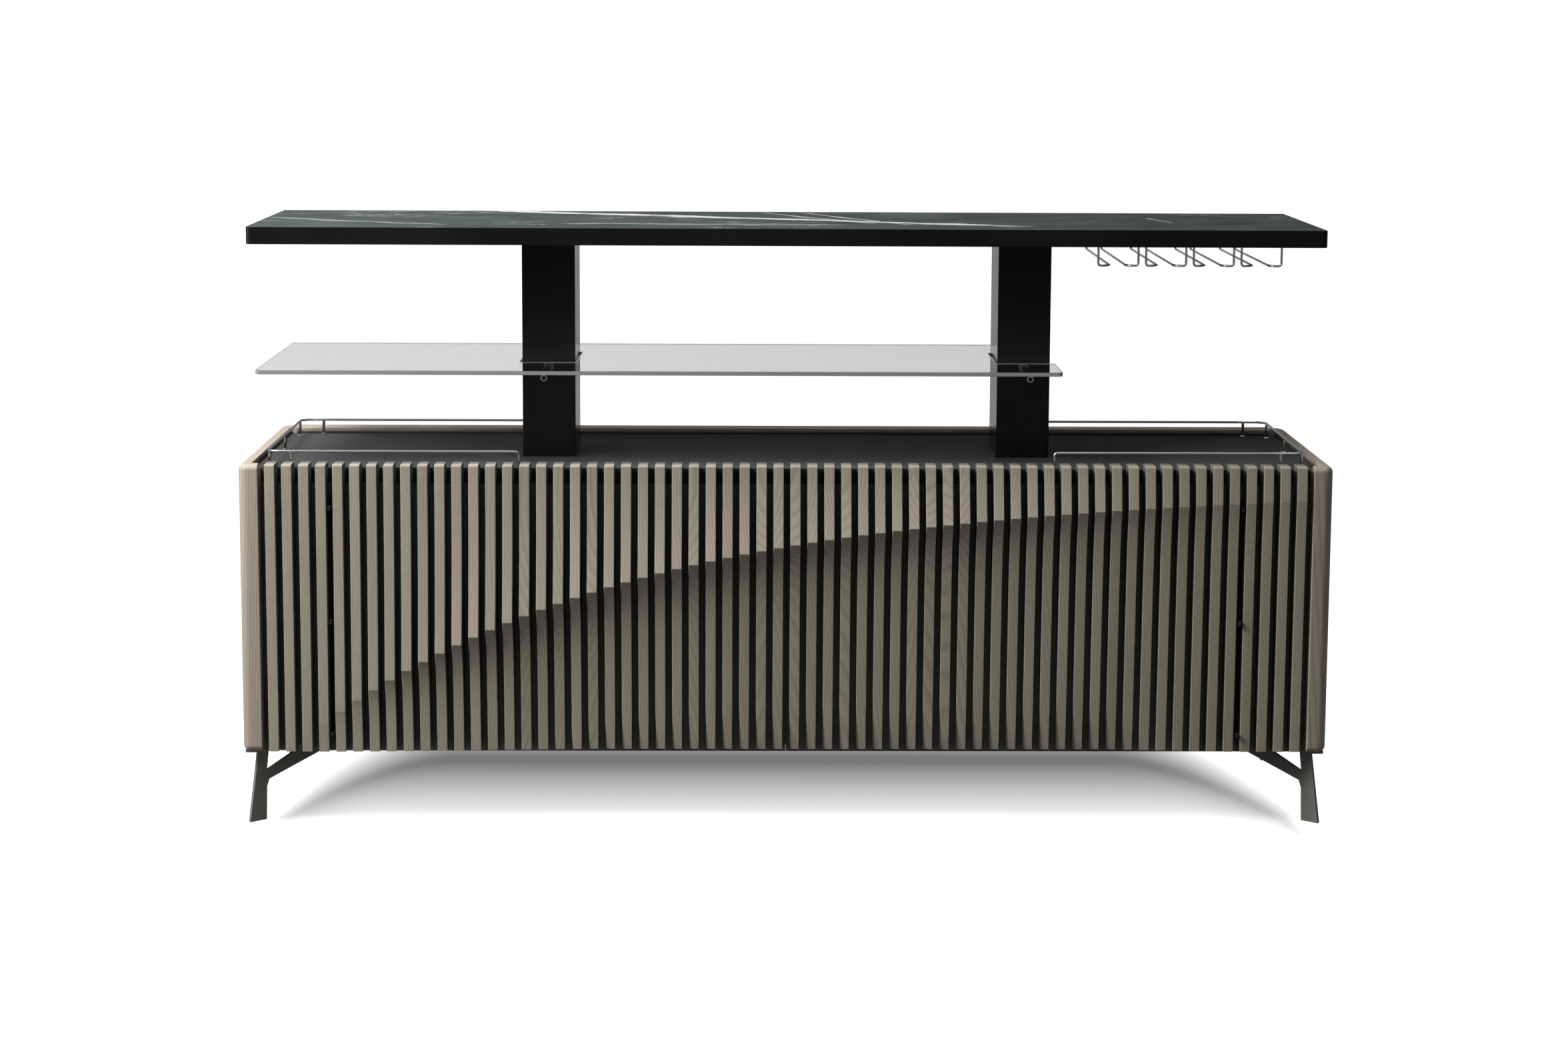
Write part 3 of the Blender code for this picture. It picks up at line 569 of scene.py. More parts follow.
def sawn_wood_group():
    """Rings, fibres and pores of a board sawn from a trunk that tapers upwards."""
    group, given, result = new_group(
        "Sawn wood",
        (("Vector", "NodeSocketVector", None), ("Pith", "NodeSocketVector", (0.0, 0.0, 0.0)),
         ("Ring spacing", "NodeSocketFloat", 0.006), ("Taper", "NodeSocketFloat", 0.05),
         ("Waviness", "NodeSocketFloat", 0.01)),
        ("Rings", "Fibres", "Pores"))
    vector = given.outputs["Vector"]
    parts = add_node(group, "ShaderNodeSeparateXYZ", {0: vector})
    flat = scale_vector(group, vector, (1.0, 1.0, 0.0))
    reach = add_node(group, "ShaderNodeVectorMath", {0: flat, 1: given.outputs["Pith"]},
                     operation="DISTANCE").outputs["Value"]
    wander = noise(group, scale_vector(group, vector, (1.0, 1.0, 0.22)), 9.0, 3.0)
    wander = calculate(group, "MULTIPLY", calculate(group, "SUBTRACT", wander, 0.5),
                       given.outputs["Waviness"])
    rise = calculate(group, "MULTIPLY", parts.outputs["Z"], given.outputs["Taper"])
    radius = calculate(group, "ADD", calculate(group, "ADD", reach, wander), rise)
    ring = calculate(group, "FRACT", calculate(group, "DIVIDE", radius,
                                               given.outputs["Ring spacing"]))
    late = calculate(group, "MULTIPLY", ramp(group, ring, 0.35, 0.88),
                     ramp(group, ring, 0.90, 1.0, 1.0, 0.0))
    fibre = noise(group, scale_vector(group, vector, (1.0, 1.0, 0.030)), 620.0, 3.0, 0.6)
    pore = noise(group, scale_vector(group, vector, (1.0, 1.0, 0.060)), 1150.0, 1.0)
    connect(group, result.inputs["Rings"], late)
    connect(group, result.inputs["Fibres"], fibre)
    connect(group, result.inputs["Pores"], ramp(group, pore, 0.62, 0.74))
    return group


def surface_marks_group():
    """Broad unevenness and a fine grain for smooth surfaces."""
    group, given, result = new_group(
        "Surface marks",
        (("Vector", "NodeSocketVector", None), ("Broad scale", "NodeSocketFloat", 6.0),
         ("Fine scale", "NodeSocketFloat", 900.0)),
        ("Broad", "Fine"))
    vector = given.outputs["Vector"]
    broad = noise(group, vector, given.outputs["Broad scale"], 4.0, 0.55)
    fine = noise(group, vector, given.outputs["Fine scale"], 2.0, 0.5)
    connect(group, result.inputs["Broad"], ramp(group, broad, 0.30, 0.70))
    connect(group, result.inputs["Fine"], fine)
    return group


def use_group(tree, name, values):
    """A group placed in a material with its own values."""
    made = add_node(tree, "ShaderNodeGroup", node_tree=bpy.data.node_groups[name])
    for key, value in values.items():
        connect(tree, made.inputs[key], value)
    return made.outputs


def new_material(name, roughness, metallic=0.0, specular=0.5):
    """A Principled material: its tree, shader and object coordinates."""
    made = bpy.data.materials.new(f"{name}_finish")
    made.use_nodes = True
    tree = made.node_tree
    shader = tree.nodes["Principled BSDF"]
    shader.location = (2100, 0)
    tree.nodes["Material Output"].location = (2400, 0)
    shader.inputs["Roughness"].default_value = roughness
    shader.inputs["Metallic"].default_value = metallic
    shader.inputs["Specular IOR Level"].default_value = specular
    return tree, shader, add_node(tree, "ShaderNodeTexCoord").outputs["Object"]


def add_bump(tree, shader, height, strength, distance):
    """A height that feeds the shader's normal."""
    bump = add_node(tree, "ShaderNodeBump",
                    {"Height": height, "Strength": strength, "Distance": distance})
    connect(tree, shader.inputs["Normal"], bump.outputs[0])


def wood_material(name, colors, pith, spacing, taper, waviness, turn=None, slat_tones=None,
                  painted_foot_shade=None):
    """Greyed veneer, sawn as its pith, ring spacing, taper and waviness say.

    turn lays the grain another way than upright. slat_tones gives the first slat's start and the
    pitch, for a tone of its own in each slat. The last argument gives two heights between which
    painted shade darkens the wood downwards, a painted contact shadow at its foot.
    """
    tree, shader, place = new_material(name, 0.55, specular=0.35)
    parts = add_node(tree, "ShaderNodeSeparateXYZ", {0: place})
    light = opaque(colors.wood_light)
    tint = 0.5
    if slat_tones:
        first, pitch = slat_tones
        along_front = calculate(tree, "SUBTRACT", parts.outputs["X"], first)
        number = calculate(tree, "FLOOR", calculate(tree, "DIVIDE", along_front, pitch))
        tone = add_node(tree, "ShaderNodeTexWhiteNoise", {"W": number}, noise_dimensions="1D")
        light = mix_colors(tree, tone.outputs["Value"], light, opaque(colors.wood_green))
        offset = scale_vector(tree, tone.outputs["Color"], (0.9, 0.10, 4.0))
        place = add_node(tree, "ShaderNodeVectorMath", {0: place, 1: offset}).outputs[0]
        tint = add_node(tree, "ShaderNodeSeparateXYZ", {0: tone.outputs["Color"]}).outputs["Y"]
    elif turn:
        place = add_node(tree, "ShaderNodeMapping",
                         {"Vector": place, "Rotation": turn}).outputs[0]
    wood = use_group(tree, "Sawn wood", {"Vector": place, "Pith": pith, "Ring spacing": spacing,
                                         "Taper": taper, "Waviness": waviness})
    patches = noise(tree, scale_vector(tree, place, (1.0, 1.0, 0.25)), 14.0, 3.0)
    # How far rings, fibres, patches, pores and the slat's own tone darken the wood
    depth = 0.0
    for mark in (calculate(tree, "MULTIPLY", wood["Rings"], 0.34),
                 ramp(tree, wood["Fibres"], 0.32, 0.72, 0.22, 0.0),
                 ramp(tree, patches, 0.30, 0.72, 0.16, 0.0),
                 calculate(tree, "MULTIPLY", wood["Pores"], 0.16),
                 ramp(tree, tint, 0.0, 1.0, -0.08, 0.10)):
        depth = calculate(tree, "ADD", depth, mark, clamp=True)
    wood_color = mix_colors(tree, depth, light, opaque(colors.wood_dark))
    # Painted shade: below the upper height the wood darkens to the painted shadow colour
    if painted_foot_shade:
        unshaded_share = ramp(tree, parts.outputs["Z"], *painted_foot_shade)
        wood_color = mix_colors(tree, unshaded_share, opaque(colors.painted_foot_shade), wood_color)
    connect(tree, shader.inputs["Base Color"], wood_color)
    connect(tree, shader.inputs["Roughness"], ramp(tree, wood["Rings"], 0.0, 1.0, 0.62, 0.50))
    hollow = calculate(tree, "MULTIPLY", wood["Pores"], 0.6)
    add_bump(tree, shader, calculate(tree, "SUBTRACT", wood["Fibres"], hollow), 0.35, 0.0003)


def coated_material(name, base, roughness, specular, scales, depth, bump, metallic=0.0):
    """Paint, lacquer, plastic or metal: uneven tone and roughness, and a fine relief.

    scales are those of the broad and the fine marks, and bump is the relief's strength and depth.
    """
    tree, shader, place = new_material(name, roughness, metallic, specular)
    marks = use_group(tree, "Surface marks", {"Vector": place, "Broad scale": scales[0],
                                              "Fine scale": scales[1]})
    dark = opaque(value * (1 - depth) for value in base)
    light = opaque(min(value * (1 + depth), 1.0) for value in base)
    tone = calculate(tree, "ADD", calculate(tree, "MULTIPLY", marks["Broad"], 0.6),
                     calculate(tree, "MULTIPLY", marks["Fine"], 0.4))
    connect(tree, shader.inputs["Base Color"], mix_colors(tree, tone, dark, light))
    connect(tree, shader.inputs["Roughness"],
            ramp(tree, marks["Broad"], 0.0, 1.0, roughness * 0.85, min(roughness * 1.2, 1.0)))
    add_bump(tree, shader, marks["Fine"], *bump)


def vein_mask(tree, place, middle_x, middle_y, degrees, half_length, thickness, wander):
    """A vein: 1 along a wandering line through a point, fading out to its sides and its ends.

    It runs at an angle to the front, and wander is how far it strays from the straight line.
    """
    turn = math.radians(degrees)
    centre = Matrix.Rotation(turn, 3, "Z") @ Vector((middle_x, middle_y, 0.0))
    vector = add_node(tree, "ShaderNodeMapping", {"Vector": place, "Location": -centre,
                                                  "Rotation": (0.0, 0.0, turn)}).outputs[0]
    parts = add_node(tree, "ShaderNodeSeparateXYZ", {0: vector})
    bends = noise(tree, scale_vector(tree, vector, (1.0, 3.0, 1.0)), 7.0, 6.0, 0.62)
    swing = calculate(tree, "MULTIPLY", calculate(tree, "SUBTRACT", bends, 0.5), wander)
    off = calculate(tree, "ABSOLUTE", calculate(tree, "ADD", parts.outputs["Y"], swing))
    wide = ramp(tree, noise(tree, vector, 13.0, 4.0, 0.6), 0.30, 0.72, thickness * 0.35, thickness)
    core = calculate(tree, "SUBTRACT", 1.0, calculate(tree, "DIVIDE", off, wide), clamp=True)
    ends = ramp(tree, calculate(tree, "ABSOLUTE", parts.outputs["X"]), half_length * 0.75,
                half_length, 1.0, 0.0)
    return calculate(tree, "MULTIPLY", ramp(tree, core, 0.0, 0.75), ends)


def stone_material(colors):
    """Dark green-grey marble, with one long vein that slants to the front and finer ones by it."""
    tree, shader, place = new_material("stone", 0.42, specular=0.01)
    veins = vein_mask(tree, place, -0.09, 0.065, 19.0, 0.62, 0.034, 0.085)
    # The finer veins, each with its strength
    for middle_x, middle_y, degrees, half_length, thickness, wander, strength in (
            (-0.16, -0.098, 1.0, 0.30, 0.020, 0.060, 0.38),
            (0.055, 0.075, 52.0, 0.20, 0.012, 0.050, 0.55),
            (0.135, 0.055, 56.0, 0.21, 0.012, 0.045, 0.60),
            (-0.85, -0.050, 24.0, 0.22, 0.020, 0.090, 0.30),
            (0.745, 0.040, 75.0, 0.07, 0.006, 0.030, 0.60)):
        branch = vein_mask(tree, place, middle_x, middle_y, degrees, half_length, thickness,
                           wander)
        veins = calculate(tree, "MAXIMUM", veins, calculate(tree, "MULTIPLY", branch, strength))
    streaks = noise(tree, scale_vector(tree, place, (1.0, 4.0, 1.0)), 6.5, 8.0, 0.62)
    fine = ramp(tree, calculate(tree, "ABSOLUTE", calculate(tree, "SUBTRACT", streaks, 0.5)),
                0.0, 0.022, 0.40, 0.0)
    fine = calculate(tree, "MULTIPLY", fine, ramp(tree, noise(tree, place, 4.0, 2.0), 0.48, 0.66))
    veins = calculate(tree, "MAXIMUM", veins, fine)
    cloud = noise(tree, scale_vector(tree, place, (1.0, 1.8, 1.0)), 6.0, 6.0, 0.65)
    stone = Vector(colors.stone)
    ground = mix_colors(tree, ramp(tree, cloud, 0.30, 0.72), opaque(stone * 0.72),
                        opaque(stone * 1.40))
    connect(tree, shader.inputs["Base Color"],
            mix_colors(tree, veins, ground, opaque(colors.vein)))
    connect(tree, shader.inputs["Roughness"], ramp(tree, cloud, 0.0, 1.0, 0.36, 0.46))
    add_bump(tree, shader, noise(tree, place, 1400.0, 1.0), 0.05, 0.0002)


def glass_material(name, tint, roughness, clearness=1.0):
    """Glass with faint wipe marks in its roughness. A ground edge lets less light through."""
    tree, shader, place = new_material(name, 0.0)
    marks = use_group(tree, "Surface marks", {"Vector": place, "Broad scale": 5.0,
                                              "Fine scale": 300.0})
    clear = opaque(min(value * 1.01, 1.0) for value in tint)
    connect(tree, shader.inputs["Base Color"],
            mix_colors(tree, marks["Broad"], opaque(tint), clear))
    connect(tree, shader.inputs["Roughness"],
            ramp(tree, marks["Broad"], 0.0, 1.0, roughness, roughness + 0.02))
    shader.inputs["Transmission Weight"].default_value = clearness
    shader.inputs["IOR"].default_value = 1.5


def make_finishes(settings):
    """All the finishes."""
    colors = settings.finishes
    sawn_wood_group()
    surface_marks_group()
    pitch = slat_pitch(settings.fronts)
    first = -inner_half + (pitch - settings.fronts.slat_width) / 2
    wood_material("slats", colors, (0.45, 0.05, 0.0), 0.0052, 0.035, 0.016,
                  slat_tones=(first, pitch))
    wood_material("sides", colors, (0.88, middle + 0.05, 0.0), 0.0060, 0.035, 0.010)
    # The rear rim's wood has a painted contact shadow at its foot, against the tray
    wood_material("rail", colors, (0.60, 0.16, 0.0), 0.0065, 0.03, 0.020,
                  turn=(0.0, math.radians(90), 0.0),
                  painted_foot_shade=(tray_high.z + 0.001, tray_high.z + 0.009))
    # Roughness, specular level, scales of the marks, depth of tone, relief, and 1 for a metal
    coats = {
        "board": (0.55, 0.20, (9.0, 1500.0), 0.25, (0.10, 0.0002)),
        "groove": (0.60, 0.20, (9.0, 1500.0), 0.25, (0.10, 0.0002)),
        "tray": (0.40, 0.003, (5.0, 700.0), 0.18, (0.01, 0.0001)),
        "metal": (0.50, 0.15, (30.0, 2200.0), 0.25, (0.08, 0.0001)),
        "plastic": (0.45, 0.50, (40.0, 2500.0), 0.15, (0.10, 0.0001)),
        "steel": (0.34, 0.50, (22.0, 900.0), 0.16, (0.06, 0.0001), 1.0),
        "gloss": (0.16, 0.12, (4.0, 800.0), 0.25, (0.012, 0.0001)),
        "edge": (0.38, 0.15, (4.0, 1100.0), 0.22, (0.03, 0.0001)),
        "chrome": (0.09, 0.50, (18.0, 500.0), 0.06, (0.01, 0.0001), 1.0),
        "legs": (0.48, 0.35, (12.0, 1300.0), 0.14, (0.14, 0.0002)),
    }
    for name, coat in coats.items():
        coated_material(name, getattr(colors, name), *coat)
    stone_material(colors)
    glass_material("glass", colors.glass, 0.0)
    glass_material("glass_edge", colors.glass_edge, 0.25, clearness=0.35)


def finish_named(name):
    """A finish that is already made."""
    return bpy.data.materials[f"{name}_finish"]


# The slatted fronts. The wave's crest and the recess under it rise and fade over these shares of
# the front's length, and fade by these shares. The swell above the crest has a power at the left
# end that drops towards the right end.
crest_rise = (0.02, 0.22)
crest_fade = (0.60, 1.00)
crest_fade_by = 0.88
recess_rise = (0.05, 0.35)
recess_fade = (0.80, 0.95)
recess_fade_by = 0.70
swell_power = 2.4
swell_power_drop = 1.4

# A slat's ends stay plain. Of its rows, this share is above the crest, they crowd towards it by
# these powers, and the crest stays this far above the foot. Only the front of a slat is carved.
plain_end = 0.004
rows_above = 0.42
crowding_above = 1.7
crowding_below = 1.8
lowest_crest = 0.006
carved_depth = 0.010


def slat_pitch(fronts):
    """From one slat to the next."""
    gap = (2 * inner_half - fronts.slat_count * fronts.slat_width) / (fronts.slat_count + 1)
    return fronts.slat_width + gap


def smooth_step(value, start, end):
    """Rise from 0 to 1 between start and end, level at both ends."""
    part = min(max((value - start) / (end - start), 0.0), 1.0)
    return part * part * (3 - 2 * part)


def crest_height(fronts, run):
    """Height of the wave's crest at a share of the front's length."""
    return body_top - fronts.crest_drop - fronts.crest_fall * math.exp(-run / fronts.crest_length)


def relief(fronts, run, height):
    """How far the slats stand out of the front plane there."""
    crest = crest_height(fronts, run)
    fade = 1 - crest_fade_by * smooth_step(run, *crest_fade)
    reach = fronts.crest_reach * smooth_step(run, *crest_rise) * fade
    if height >= crest:
        power = swell_power - swell_power_drop * run
        return reach * ((body_top - height) / (body_top - crest)) ** power
    below = crest - height
    recess = fronts.foot_recess * smooth_step(run, *recess_rise)
    recess *= 1 - recess_fade_by * smooth_step(run, *recess_fade)
    slope = recess * below / (crest - body_bottom)
    return reach * math.exp(-below / fronts.undercut) - slope


def model_slat(fronts):
    """One straight slat with rounded edges and even rows, its left side at X = 0."""
    low = (0.0, front, body_bottom)
    high = (fronts.slat_width, front + fronts.slat_depth + fronts.slat_bite, body_top)
    slat = add_block("slat", low, high)
    edit(slat)
    round_edges(slat, lambda edge: at(edge, 1, front) and at(edge, 2, body_top),
                fronts.slat_top, steps=4)
    round_edges(slat, lambda edge: (at(edge, 0, 0) or at(edge, 0, fronts.slat_width))
                and not at(edge, 1, high[1]) and not at(edge, 2, body_bottom),
                fronts.slat_edge, steps=2)
    round_edges(slat, lambda edge: at(edge, 2, body_bottom) and not at(edge, 1, high[1]),
                fronts.slat_edge / 2, steps=1)
    span = body_top - body_bottom - 2 * plain_end
    for row in range(fronts.row_count + 1):
        bpy.ops.mesh.select_all(action="SELECT")
        level = body_bottom + plain_end + span * row / fronts.row_count
        bpy.ops.mesh.bisect(plane_co=(0, 0, level), plane_no=(0, 0, 1))
    bpy.ops.mesh.select_all(action="SELECT")
    bpy.ops.mesh.bisect(plane_co=(0, front + fronts.slat_wood, 0), plane_no=(0, 1, 0))
    leave_edit()
    return slat


def carve_slat(fronts, slat, start):
    """Move a straight slat to its place and carve its front to the wave, rows close at the crest.

    Each slat is cut square, so the crest steps from one slat to the next.
    """
    high, low = body_top - plain_end, body_bottom + plain_end
    run = (start + fronts.slat_width / 2 + inner_half) / (2 * inner_half)
    crest = max(crest_height(fronts, run), body_bottom + lowest_crest)
    for vertex in slat.data.vertices:
        x, y, z = vertex.co
        down = (high - z) / (high - low)
        if 0 < down <= rows_above:
            z = high - (high - crest) * (1 - (1 - down / rows_above) ** crowding_above)
        elif rows_above < down < 1:
            below = (down - rows_above) / (1 - rows_above)
            z = crest - (crest - low) * below ** crowding_below
        if y < front + carved_depth:
            y -= relief(fronts, run, z)
        vertex.co = x + start, y, z


def model_fronts(settings):
    """The four groups of slats and the black sheets behind them."""
    fronts = settings.fronts
    pitch = slat_pitch(fronts)
    pattern = model_slat(fronts)
    ends, halfway = fronts.end_slat_count, fronts.slat_count // 2
    last = fronts.slat_count
    groups = (("end_slats_left", "cabinet", 0, ends),
              ("door_slats_left", "door_left", ends, halfway),
              ("door_slats_right", "door_right", halfway, last - ends),
              ("end_slats_right", "cabinet", last - ends, last))
    panel_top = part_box("door_panel_left")[1].z
    door_edge = -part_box("door_slats_left")[0].x
    for node, body, begin, end in groups:
        slats = []
        for number in range(begin, end):
            slat = copy_piece(pattern, f"slat_{number + 1}")
            carve_slat(fronts, slat, pitch * (number + 1) - inner_half - fronts.slat_width)
            slats.append(slat)
        group = join_pieces(f"carved_{node}", slats)
        finish_piece(group, "slats", node, body, degrees=40)
        # The slats' sides and the backs of their tops are stained black
        group.data.materials.append(finish_named("groove"))
        for face in group.data.polygons:
            behind = face.center.y > front + fronts.slat_wood
            on_top = face.center.z > body_top - near_enough
            on_side = abs(face.normal.x) > 0.95
            face.material_index = 1 if on_side or (behind and on_top) else 0
        low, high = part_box(node)
        # A fixed sheet reaches from the side panel to the door's, and the doors' nearly meet
        inner, outer = fronts.seam / 2, door_edge
        if body == "cabinet":
            inner, outer = door_edge + fronts.seam, inner_half - touch
        left, right = (-outer, -inner) if low.x < 0 else (inner, outer)
        sheet = add_block(f"backing_{node}", (left, front + fronts.slat_depth, low.z),
                          (right, high.y, panel_top))
        ease(sheet, fronts.sheet_edge)
        finish_piece(sheet, "groove", node, body)
    bpy.data.objects.remove(pattern)


# The body

def model_side(settings, side, label):
    """A side panel: rounded outside, eased inside."""
    body = settings.body
    low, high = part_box(f"side_panel_{label}")
    panel = add_block(f"side_{label}", low, high)
    outer, inner = (low.x, high.x) if side < 0 else (high.x, low.x)
    edit(panel)
    round_edges(panel, lambda edge: along(edge, 2) and at(edge, 0, outer) and at(edge, 1, back),
                body.rear_round, steps=10)
    round_edges(panel, lambda edge: along(edge, 2) and at(edge, 0, outer) and at(edge, 1, front),
                body.front_round, steps=6)
    for level in (body_bottom, body_top):
        round_edges(panel, lambda edge: at(edge, 2, level) and not at(edge, 0, inner),
                    body.end_round, steps=5)
    leave_edit()
    # Behind its front end the panel's rim is narrower, down to the tray
    wall = inner + side * body.rebate
    left, right = sorted((wall, inner - side * overrun))
    cut_away(panel, add_block("cutter", (left, front + body.stile_depth, tray_high.z),
                              (right, rail_front, body_top + overrun)))
    ease(panel, body.inner_round, degrees=60)
    finish_piece(panel, "sides", f"side_panel_{label}")
    # The rebate's floor goes with the tray, and its wall with the rear rim and its painted foot
    # shade
    panel.data.materials.append(finish_named("tray"))
    panel.data.materials.append(finish_named("rail"))
    for face in panel.data.polygons:
        place = face.center
        at_wall = place.z > tray_high.z and abs(place.x - wall) < 2 * near_enough
        if face.normal.z > 0.9 and place.z < tray_high.z + near_enough:
            face.material_index = 1
        elif face.normal.x * side < -0.9 and at_wall:
            face.material_index = 2


def model_body(settings):
    """Side panels, back rim and the boards inside."""
    body = settings.body
    for side, label in ((-1, "left"), (1, "right")):
        model_side(settings, side, label)
    low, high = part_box("back_rail")
    rail = add_block("back_rim", low, high)
    edit(rail)
    round_edges(rail, lambda edge: along(edge, 0), body.inner_round, steps=3)
    leave_edit()
    finish_piece(rail, "rail", "back_rail")
    boards = ["back_panel", "bottom_panel", "sub_top", "centre_partition", "shelf_left",
              "shelf_right", "end_panel_left", "end_panel_right"]
    boards += [f"shelf_cleat_{place}_{label}" for place in ("inner", "outer")
               for label in ("left", "right")]
    for node in boards:
        board = eased_copy(node, f"board_{node}", body.board_edge, steps=1)
        finish_piece(board, "board", node)
    finish_solid("tray_top", "tray")


def model_fittings(settings):
    """The doors' boards, their hinges, and the push latches."""
    edge = settings.body.board_edge
    for label in ("left", "right"):
        board = eased_copy(f"door_panel_{label}", f"board_door_{label}", edge, steps=1)
        finish_piece(board, "board", f"door_panel_{label}", f"door_{label}")
        finish_solid(f"hinge_leaf_fixed_{label}", "metal")
        finish_solid(f"hinge_leaf_door_{label}", "metal")
        catch = eased_copy(f"latch_body_{label}", f"catch_body_{label}", edge, steps=1)
        finish_piece(catch, "plastic", f"latch_body_{label}")
        low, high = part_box(f"latch_plunger_{label}")
        radius = (high.x - low.x) / 2
        chamfer = radius * 0.2
        centre = ((low.x + high.x) / 2, low.y, (low.z + high.z) / 2)
        profile = ((0, radius - chamfer), (chamfer, radius), (high.y - low.y, radius))
        plunger = turn_part(f"catch_plunger_{label}", centre, (0, 1, 0), profile, sides=24)
        finish_piece(plunger, "plastic", f"latch_plunger_{label}", f"plunger_{label}")
        finish_solid(f"latch_strike_{label}", "steel")


# Columns, counter and glass

def model_columns(settings):
    """Two gloss tubes, the plates in their ends and the rods through them."""
    top = settings.top
    low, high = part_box("column_left")
    for side, label in ((-1, "left"), (1, "right")):
        x = side * top.column_spacing / 2
        tube = add_block(f"tube_{label}", (x - top.column_width / 2, low.y, low.z),
                         (x + top.column_width / 2, high.y, high.z))
        edit(tube)
        round_edges(tube, lambda edge: along(edge, 2), top.column_edge, steps=3)
        pick(tube, "FACE", lambda face: at(face, 2, low.z) or at(face, 2, high.z))
        bpy.ops.mesh.inset(thickness=top.column_wall, use_individual=True)
        bpy.ops.mesh.bridge_edge_loops()
        bpy.ops.mesh.select_all(action="SELECT")
        bpy.ops.mesh.normals_make_consistent(inside=False)
        leave_edit()
        arm_low, arm_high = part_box(f"shelf_arm_front_{label}")
        height = (arm_low.z + arm_high.z) / 2
        radius = top.spigot_radius + touch
        profile = ((0, radius), (high.y - low.y + 2 * overrun, radius))
        cut_away(tube, turn_part("bore", (x, low.y - overrun, height), (0, 1, 0), profile,
                                 sides=24))
        finish_piece(tube, "gloss", f"column_{label}")
        for place in ("foot", "head"):
            node = f"column_{place}_plate_{label}"
            plate = eased_copy(node, f"plate_{place}_{label}", top.plate_edge, steps=1)
            finish_piece(plate, "steel", node)
        finish_solid(f"column_tie_rod_{label}", "steel")


def model_counter(settings):
    """The black core with its recess, and the stone slab in it."""
    top = settings.top
    core = add_block("counter_edge_frame", counter_low, counter_high)
    edit(core)
    round_edges(core, lambda edge: along(edge, 2), top.counter_corner, steps=6)
    pick(core, "FACE", lambda face: at(face, 2, counter_high.z))
    bpy.ops.mesh.inset(thickness=top.counter_lip)
    bpy.ops.mesh.extrude_region_move(
        TRANSFORM_OT_translate={"value": (0, 0, -top.slab_thickness)})
    leave_edit()
    ease(core, top.counter_edge, degrees=60)
    finish_piece(core, "edge", "counter_core")

    low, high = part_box("counter_slab")
    slab = add_block("stone_slab", low, high)
    edit(slab)
    round_edges(slab, lambda edge: along(edge, 2),
                top.counter_corner - top.counter_lip - touch, steps=6)
    leave_edit()
    ease(slab, top.counter_edge, degrees=60)
    finish_piece(slab, "stone", "counter_slab")


def model_glass(settings):
    """The glass shelf with its hole, notch and polished edges, and the turned arms."""
    top = settings.top
    shelf = add_block("glass_plate", glass_low, glass_high)
    half_x = top.column_width / 2 + top.glass_gap
    half_y = top.column_depth / 2 + top.glass_gap
    # The right cutter runs out past the glass's right edge, so that it leaves a notch
    for side, run_out in ((-1, 0.0), (1, 0.05)):
        x = side * top.column_spacing / 2
        cutter = add_block("cutter", (x - half_x, middle - half_y, glass_low.z - overrun),
                           (x + half_x + run_out, middle + half_y, glass_high.z + overrun))
        cut_away(shelf, cutter)
    edit(shelf)
    round_edges(shelf, lambda edge: along(edge, 2)
                and (at(edge, 0, glass_low.x) or at(edge, 0, glass_high.x))
                and (at(edge, 1, glass_low.y) or at(edge, 1, glass_high.y)),
                top.glass_corner, steps=8)
    leave_edit()
    ease(shelf, top.glass_edge, degrees=60)
    finish_piece(shelf, "glass", "glass_shelf")
    shelf.data.materials.append(finish_named("glass_edge"))
    for face in shelf.data.polygons:
        face.material_index = 1 if abs(face.normal.z) < 0.5 else 0

    spigot, collar = top.spigot_length, top.spigot_length + touch + top.collar_thickness
    run = spigot + (glass_high.y - glass_low.y) / 2 - top.arm_end_inset - top.column_depth / 2
    edge, rounded = top.collar_edge, top.arm_round
    # The arm's end is rounded in two steps, and this is where they meet
    knee = rounded * 0.3
    profile = ((0, top.spigot_radius), (spigot + touch, top.spigot_radius),
               (spigot + touch, top.collar_radius - edge),
               (spigot + touch + edge, top.collar_radius),
               (collar - edge, top.collar_radius), (collar, top.collar_radius - edge),
               (collar, top.arm_radius), (run - rounded, top.arm_radius),
               (run - knee, top.arm_radius - knee), (run, top.arm_radius - rounded),
               (run, top.arm_radius - top.plug_inset))
    for side, label in ((-1, "left"), (1, "right")):
        for face, place in ((-1, "front"), (1, "back")):
            node = f"shelf_arm_{place}_{label}"
            low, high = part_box(node)
            start = (side * top.column_spacing / 2,
                     middle + face * (top.column_depth / 2 - spigot), (low.z + high.z) / 2)
            arm = turn_part(f"turned_arm_{place}_{label}", start, (0, face, 0), profile)
            finish_piece(arm, "chrome", node)
            # A black plug closes the arm's end
            arm.data.materials.append(finish_named("metal"))
            end = start[1] + face * run
            for plug in arm.data.polygons:
                at_end = len(plug.vertices) > 4 and abs(plug.center.y - end) < touch
                plug.material_index = 1 if at_end else 0


# Wires

